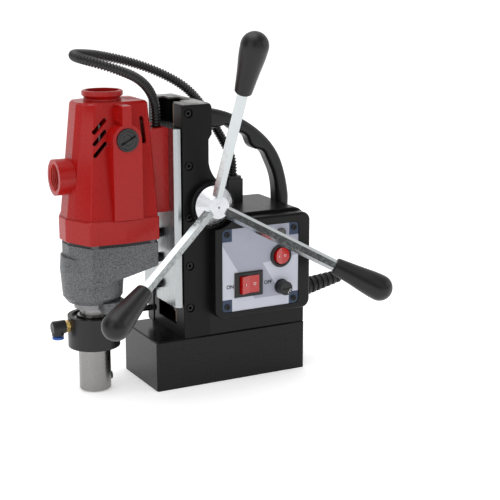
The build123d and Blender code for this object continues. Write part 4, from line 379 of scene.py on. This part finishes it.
def paint_nodes():
    """Gives every CAD node its finish."""
    finishes = [
        # black parts
        (surface("magnet_enamel", BLACK, 0.26, coat=0.1, grain=260.0, rough_vary=0.02,
                 specular=0.18), ["magnet_body"]),
        (casting_with_top_highlight(), ["column"]),
        (surface("black_enamel", BLACK, 0.33, coat=0.12, grain=420.0, depth=0.006 * MM,
                 rough_vary=0.03, specular=0.16), ["control_box"]),
        (cap_plastic(), ["brush_caps"]),
        (surface("black_plastic", (0.009, 0.009, 0.01), 0.36, grain=1500.0, depth=0.01 * MM,
                 specular=0.4),
         ["main_frame", "round_frame", "fuse_holder", "fuse_cap", "conduit_gland", "fan",
          "fan_baffle", "hose_elbow"]),
        (surface("handle_plastic", (0.008, 0.008, 0.009), 0.36, grain=700.0, depth=0.02 * MM,
                 specular=0.35), ["carry_handle"]),
        (surface("grip_plastic", (0.0075, 0.0075, 0.008), 0.36, grain=900.0, depth=0.01 * MM,
                 specular=0.35), ["feed_grips"]),
        (surface("collar_anodised", (0.009, 0.009, 0.01), 0.38, grain=1100.0, depth=0.01 * MM,
                 specular=0.4), ["coolant_collar"]),
        (surface("black_oxide", (0.02, 0.02, 0.022), 0.42, metal=0.6),
         ["base_bolts", "gib_screws", "rack_screws", "mount_bolts", "handle_screws",
          "housing_screws", "arbor_screws", "panel_screws", "collar_stay", "stay_bracket",
          "bracket_screw"]),
        (surface("rubber", (0.01, 0.01, 0.011), 0.5, grain=1300.0, depth=0.02 * MM,
                 specular=0.4), ["cable_boot", "collar_seals"]),
        (surface("conduit_nylon", (0.008, 0.008, 0.009), 0.32, specular=0.45), ["conduit"]),
        # metals
        (brushed_steel("hobbed_steel", (0.24, 0.24, 0.25), 0.35, (1, 1, 0.2)),
         ["rack", "feed_shaft", "armature_shaft", "idler_gear", "spindle_gear"]),
        (brushed_steel("ground_slide", (0.42, 0.44, 0.45), 0.26, (1.5, 1.5, 0.04),
                       depth=0.004 * MM, scale=900.0), ["slide"]),
        (surface("bearing_steel", (0.2, 0.2, 0.21), 0.3, metal=1.0),
         ["motor_bearings", "spindle_bearings", "idler_bearings"]),
        (surface("spring_steel", (0.5, 0.5, 0.52), 0.22, metal=1.0), ["collar_snap_ring"]),
        (surface("bronze", (0.17, 0.12, 0.075), 0.42, metal=1.0, grain=500.0),
         ["gib_strip", "feed_bushes"]),
        (turned_metal("turned_hub", (0.66, 0.67, 0.7), 0.24, "feed_hub", "Y", 0.35 * MM),
         ["feed_hub"]),
        (turned_metal("turned_arbor", (0.27, 0.265, 0.26), 0.24, "arbor", "Z", 0.5 * MM),
         ["arbor"]),
        (surface("zinc_plate", (0.55, 0.58, 0.59), 0.16, metal=1.0, vary=0.05, grain=300.0),
         ["feed_rods"]),
        (surface("cast_plate", (0.25, 0.25, 0.26), 0.45, metal=0.9, grain=500.0,
                 depth=0.02 * MM), ["gear_plate"]),
        (surface("laminations", (0.3, 0.3, 0.31), 0.45, metal=0.8, stretch=(0.1, 0.1, 4)),
         ["stator", "armature_core"]),
        (surface("brass", (0.8, 0.57, 0.2), 0.24, metal=1.0, vary=0.08),
         ["hose_nipple", "brush_holders"]),
        # paint, print and the rest
        (surface("motor_red", (0.36, 0.004, 0.003), 0.3, vary=0.06, coat=0.06, specular=0.3,
                 grain=800.0, depth=0.03 * MM, rough_vary=0.05), ["motor_housing"]),
        (surface("switch_red", (0.46, 0.004, 0.003), 0.2, vary=0.04, coat=0.5),
         ["main_rocker", "round_rocker"]),
        (hammered_grey(), ["gear_housing"]),
        (panel_print(), ["panel_plate"]),
        (surface("lens", (0.035, 0.03, 0.03), 0.2, coat=0.5), ["indicator_lamp"]),
        (surface("blue_plastic", (0.01, 0.09, 0.42), 0.35), ["release_ring"]),
        (surface("coil_varnish", (0.3, 0.12, 0.04), 0.35), ["magnet_coil"]),
        (surface("potting", (0.04, 0.04, 0.045), 0.5, grain=300.0), ["magnet_seal"]),
        (surface("carbon", (0.03, 0.03, 0.03), 0.6), ["brushes"]),
        (surface("board", (0.02, 0.14, 0.06), 0.4), ["circuit_board"]),
    ]
    for material, names in finishes:
        for name in names:
            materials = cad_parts[name].data.materials
            materials.clear()
            materials.append(material)


# ---------------------------------------------------------------- mesh helpers
def new_piece(name, verts, faces, material, body=None, smooth=True):
    mesh = bpy.data.meshes.new(name)
    mesh.from_pydata([tuple(v) for v in verts], [], faces)
    mesh.update()
    if smooth:
        mesh.polygons.foreach_set("use_smooth", [True] * len(mesh.polygons))
    mesh.materials.append(material)
    piece = place_object(name, mesh)
    if body:
        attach(piece, body)
    return piece


def spokes(across, up, count):
    """Directions spaced evenly all the way round, starting at across."""
    angles = [2 * math.pi * k / count for k in range(count)]
    return [across * math.cos(a) + up * math.sin(a) for a in angles]


def bands(rows, sides):
    """Faces that join closed rows of points, each row with as many points as sides."""
    faces = []
    for i in range(rows - 1):
        for k in range(sides):
            n = (k + 1) % sides
            faces.append((i * sides + k, i * sides + n, (i + 1) * sides + n, (i + 1) * sides + k))
    return faces


def capped_bands(rows, sides):
    """The same with a face over each end."""
    last = (rows - 1) * sides
    return bands(rows, sides) + [tuple(reversed(range(sides))), tuple(range(last, last + sides))]


# ---------------------------------------------------------------- conduit
CONDUIT_R = 4.7 * MM
CONDUIT_ROUTE = [                       # control points in millimetres, from the gland to the motor
    (31, 20, 190), (33, 20, 211), (22, 20, 231), (7, 20, 256), (-14, 20, 285), (-40, 25, 302),
    (-72, 34, 315), (-106, 38, 323), (-126, 33, 325), (-138, 18, 326), (-142, 0, 325),
    (-133, -17, 322), (-115, -27, 316), (-90, -26, 306), (-73, -18, 290), (-67, -14, 270),
    (-68, -13, 251),
]
RIDGE_PITCH = 3.0 * MM
RIDGE_WAVE = [0.0, 0.0, 0.15, 0.9, 1.0, 1.0, 0.9, 0.15]     # height over one pitch
GROOVE_SHARE = 0.78                     # radius of the grooves as a share of the ridges'
CONDUIT_SIDES = 20


def spline_points(route):
    """Points along the smooth line that the route's points control, in metres."""
    curve = bpy.data.curves.new("route", "CURVE")
    curve.dimensions = "3D"
    spline = curve.splines.new("NURBS")
    spline.points.add(len(route) - 1)
    for point, place in zip(spline.points, route):
        point.co = (*(c * MM for c in place), 1.0)
    spline.order_u = 3
    spline.use_endpoint_u = True
    spline.resolution_u = 24
    holder = place_object("route", curve)
    bpy.context.view_layer.update()
    mesh = bpy.data.meshes.new_from_object(holder)
    points = [v.co.copy() for v in mesh.vertices]
    bpy.data.objects.remove(holder)
    return points


def evenly(points, step):
    """The same line with points one step apart."""
    out, carry = [points[0]], 0.0
    for a, b in zip(points, points[1:]):
        length = (b - a).length
        while length > 1e-9 and carry + length >= step:
            a = a + (b - a) * ((step - carry) / length)
            length = (b - a).length
            out.append(a.copy())
            carry = 0.0
        carry += length
    return out


def tube(points, radii, sides):
    """Points and faces of a tube with its own radius at each point, its section not twisting."""
    verts = []
    side = (points[1] - points[0]).orthogonal().normalized()
    for i, (point, radius) in enumerate(zip(points, radii)):
        ahead = (points[min(i + 1, len(points) - 1)] - points[max(i - 1, 0)]).normalized()
        side = (side - ahead * side.dot(ahead)).normalized()
        verts += [point + spoke * radius for spoke in spokes(side, ahead.cross(side), sides)]
    return verts, capped_bands(len(points), sides)


def make_conduit():
    """The ribbed conduit, fixed to the box at one end and to the sliding head at the other."""
    steps = len(RIDGE_WAVE)
    points = evenly(spline_points(CONDUIT_ROUTE), RIDGE_PITCH / steps)
    radii = [CONDUIT_R * (GROOVE_SHARE + (1 - GROOVE_SHARE) * RIDGE_WAVE[i % steps])
             for i in range(len(points))]
    verts, faces = tube(points, radii, CONDUIT_SIDES)
    piece = new_piece("conduit_tube", verts, faces, bpy.data.materials["conduit_nylon"])
    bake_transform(piece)
    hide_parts("conduit")


# ---------------------------------------------------------------- marks, painted glint, thread and lettering
OPERATOR_Y = -0.3                       # a place in front of every face that carries a mark
LETTER_DEPTH, LETTER_WEIGHT, LETTER_LIFT = 0.06 * MM, 0.16 * MM, 0.04 * MM
STROKE_ROWS = [                         # place along a stroke and its width there, as shares
    (-0.5, 0.45), (-0.44, 0.85), (-0.36, 1.0), (0.36, 1.0), (0.44, 0.85), (0.5, 0.45),
]
STROKE_SINK, STROKE_RISE = -0.08, 0.1
RING_TURNS, RING_SIDES = 40, 8
UPRIGHT = math.radians(90)
THREAD_R, THREAD_END, THREAD_PITCH = 13.17 * MM, 13.2 * MM, 1.8 * MM
THREAD_ROOT, THREAD_CREST = 0.1 * MM, 0.95 * MM
THREAD_SIDES = 56


def face_at(node, x, z):
    """Where a node's face is at x and z in millimetres, with its directions there."""
    start = Vector((x * MM, OPERATOR_Y, z * MM))
    hit, place, normal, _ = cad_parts[node].ray_cast(start, Vector((0, 1, 0)))
    if not hit:
        raise ValueError(f"{node} isn't under its mark")
    up = (Vector((0, 0, 1)) - normal * normal.z).normalized()
    return place, up.cross(normal), up, normal


def ring_mark(name, node, body, x, z, radius, thick, material):
    """A round O printed on a piece's face, sizes in millimetres."""
    place, across, up, normal = face_at(node, x, z)
    verts, faces = [], []
    for spoke in spokes(across, up, RING_TURNS):
        for j in range(RING_SIDES):
            b = 2 * math.pi * j / RING_SIDES
            verts.append(place + spoke * (radius + thick * math.cos(b)) * MM
                         + normal * (thick * 0.5 * math.sin(b)) * MM)
    for k in range(RING_TURNS):
        here, there = k * RING_SIDES, (k + 1) % RING_TURNS * RING_SIDES
        for j in range(RING_SIDES):
            m = (j + 1) % RING_SIDES
            faces.append((here + j, there + j, there + m, here + m))
    new_piece(name, verts, faces, material, body)


def bar_stroke(name, node, body, x, z, length, thick, material, lean=UPRIGHT):
    """A short stroke on a piece's face, its corners rounded, sizes in millimetres."""
    place, across, up, normal = face_at(node, x, z)
    long_way = across * math.cos(lean) + up * math.sin(lean)
    wide_way = normal.cross(long_way)
    verts = []
    for along, width in STROKE_ROWS:
        for w, h in ((-width, STROKE_SINK), (-width * 0.8, STROKE_RISE),
                     (width * 0.8, STROKE_RISE), (width, STROKE_SINK)):
            verts.append(place + long_way * along * length * MM
                         + wide_way * w * thick * 0.5 * MM + normal * h * MM)
    new_piece(name, verts, capped_bands(len(STROKE_ROWS), 4), material, body, smooth=False)


def word(name, text, x, z, height, material):
    """A plain switch word standing on the panel's face, sizes in millimetres."""
    place = face_at("panel_plate", x, z)[0]
    data = bpy.data.curves.new(name, "FONT")
    data.body, data.size = text, height * MM
    data.extrude, data.offset = LETTER_DEPTH, LETTER_WEIGHT
    data.align_x = data.align_y = "CENTER"
    data.materials.append(material)
    piece = place_object(name, data)
    piece.location = (place.x, place.y - LETTER_LIFT, place.z)
    piece.rotation_euler = (UPRIGHT, 0, 0)
    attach(piece, "stand")


def make_marks_and_glint():
    white = surface("mark_and_glint_white", (0.75, 0.75, 0.75), 0.4, vary=0.05)
    ink = surface("mark_black", (0.012, 0.012, 0.014), 0.45)
    ring_mark("main_o", "main_rocker", "main_switch", 17.6, 100.7, 1.35, 0.2, white)
    bar_stroke("main_i", "main_rocker", "main_switch", 7.6, 100.7, 2.6, 0.55, white)
    ring_mark("round_o", "round_rocker", "round_switch", 52.0, 125.3, 1.1, 0.18, white)
    bar_stroke("round_i", "round_rocker", "round_switch", 44.6, 125.3, 2.2, 0.5, white)
    # painted highlight: three white strokes on the fuse cap's lower right rim stand for the glint
    # on its knurling
    fuse_x, fuse_z, glint_r = 48.9, 93.6, 4.9
    for k in range(3):
        lean = math.radians(-62 + 24 * k)
        bar_stroke(f"fuse_glint_{k + 1}", "fuse_cap", "fuse", fuse_x + glint_r * math.cos(lean),
                 fuse_z + glint_r * math.sin(lean), 2.4, 0.6, white, lean)
    word("word_on", "ON", -8.4, 99.6, 5.2, ink)
    word("word_off", "OFF", 33.8, 99.6, 5.0, ink)


def make_thread():
    """The thread inside the side handle's hole, which opens towards -X."""
    profile = [(0.4 * MM, THREAD_R)]    # distance in from the mouth, and radius
    along = 0.6 * MM
    while along + THREAD_PITCH < THREAD_END:
        profile += [(along, THREAD_R - THREAD_ROOT),
                    (along + THREAD_PITCH * 0.42, THREAD_R - THREAD_CREST),
                    (along + THREAD_PITCH * 0.58, THREAD_R - THREAD_CREST),
                    (along + THREAD_PITCH, THREAD_R - THREAD_ROOT)]
        along += THREAD_PITCH
    profile.append((along + 0.1 * MM, THREAD_R))
    mouth = Vector((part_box("motor_housing")[0][0], 0, 0.214))
    inward, across = Vector((1, 0, 0)), Vector((0, 1, 0))
    round_it = spokes(across, inward.cross(across), THREAD_SIDES)
    verts = [mouth + inward * deep + spoke * radius
             for deep, radius in profile for spoke in round_it]
    faces = bands(len(profile), THREAD_SIDES)
    last = (len(profile) - 1) * THREAD_SIDES
    for k in range(THREAD_SIDES):       # its outside, against the hole's wall
        n = (k + 1) % THREAD_SIDES
        faces.append((k, last + k, last + n, n))
    new_piece("handle_hole_thread", verts, faces, bpy.data.materials["motor_red"], "carriage")


# ---------------------------------------------------------------- build
make_camera()
make_studio()
make_floor()
paint_nodes()
make_conduit()
make_marks_and_glint()
make_thread()
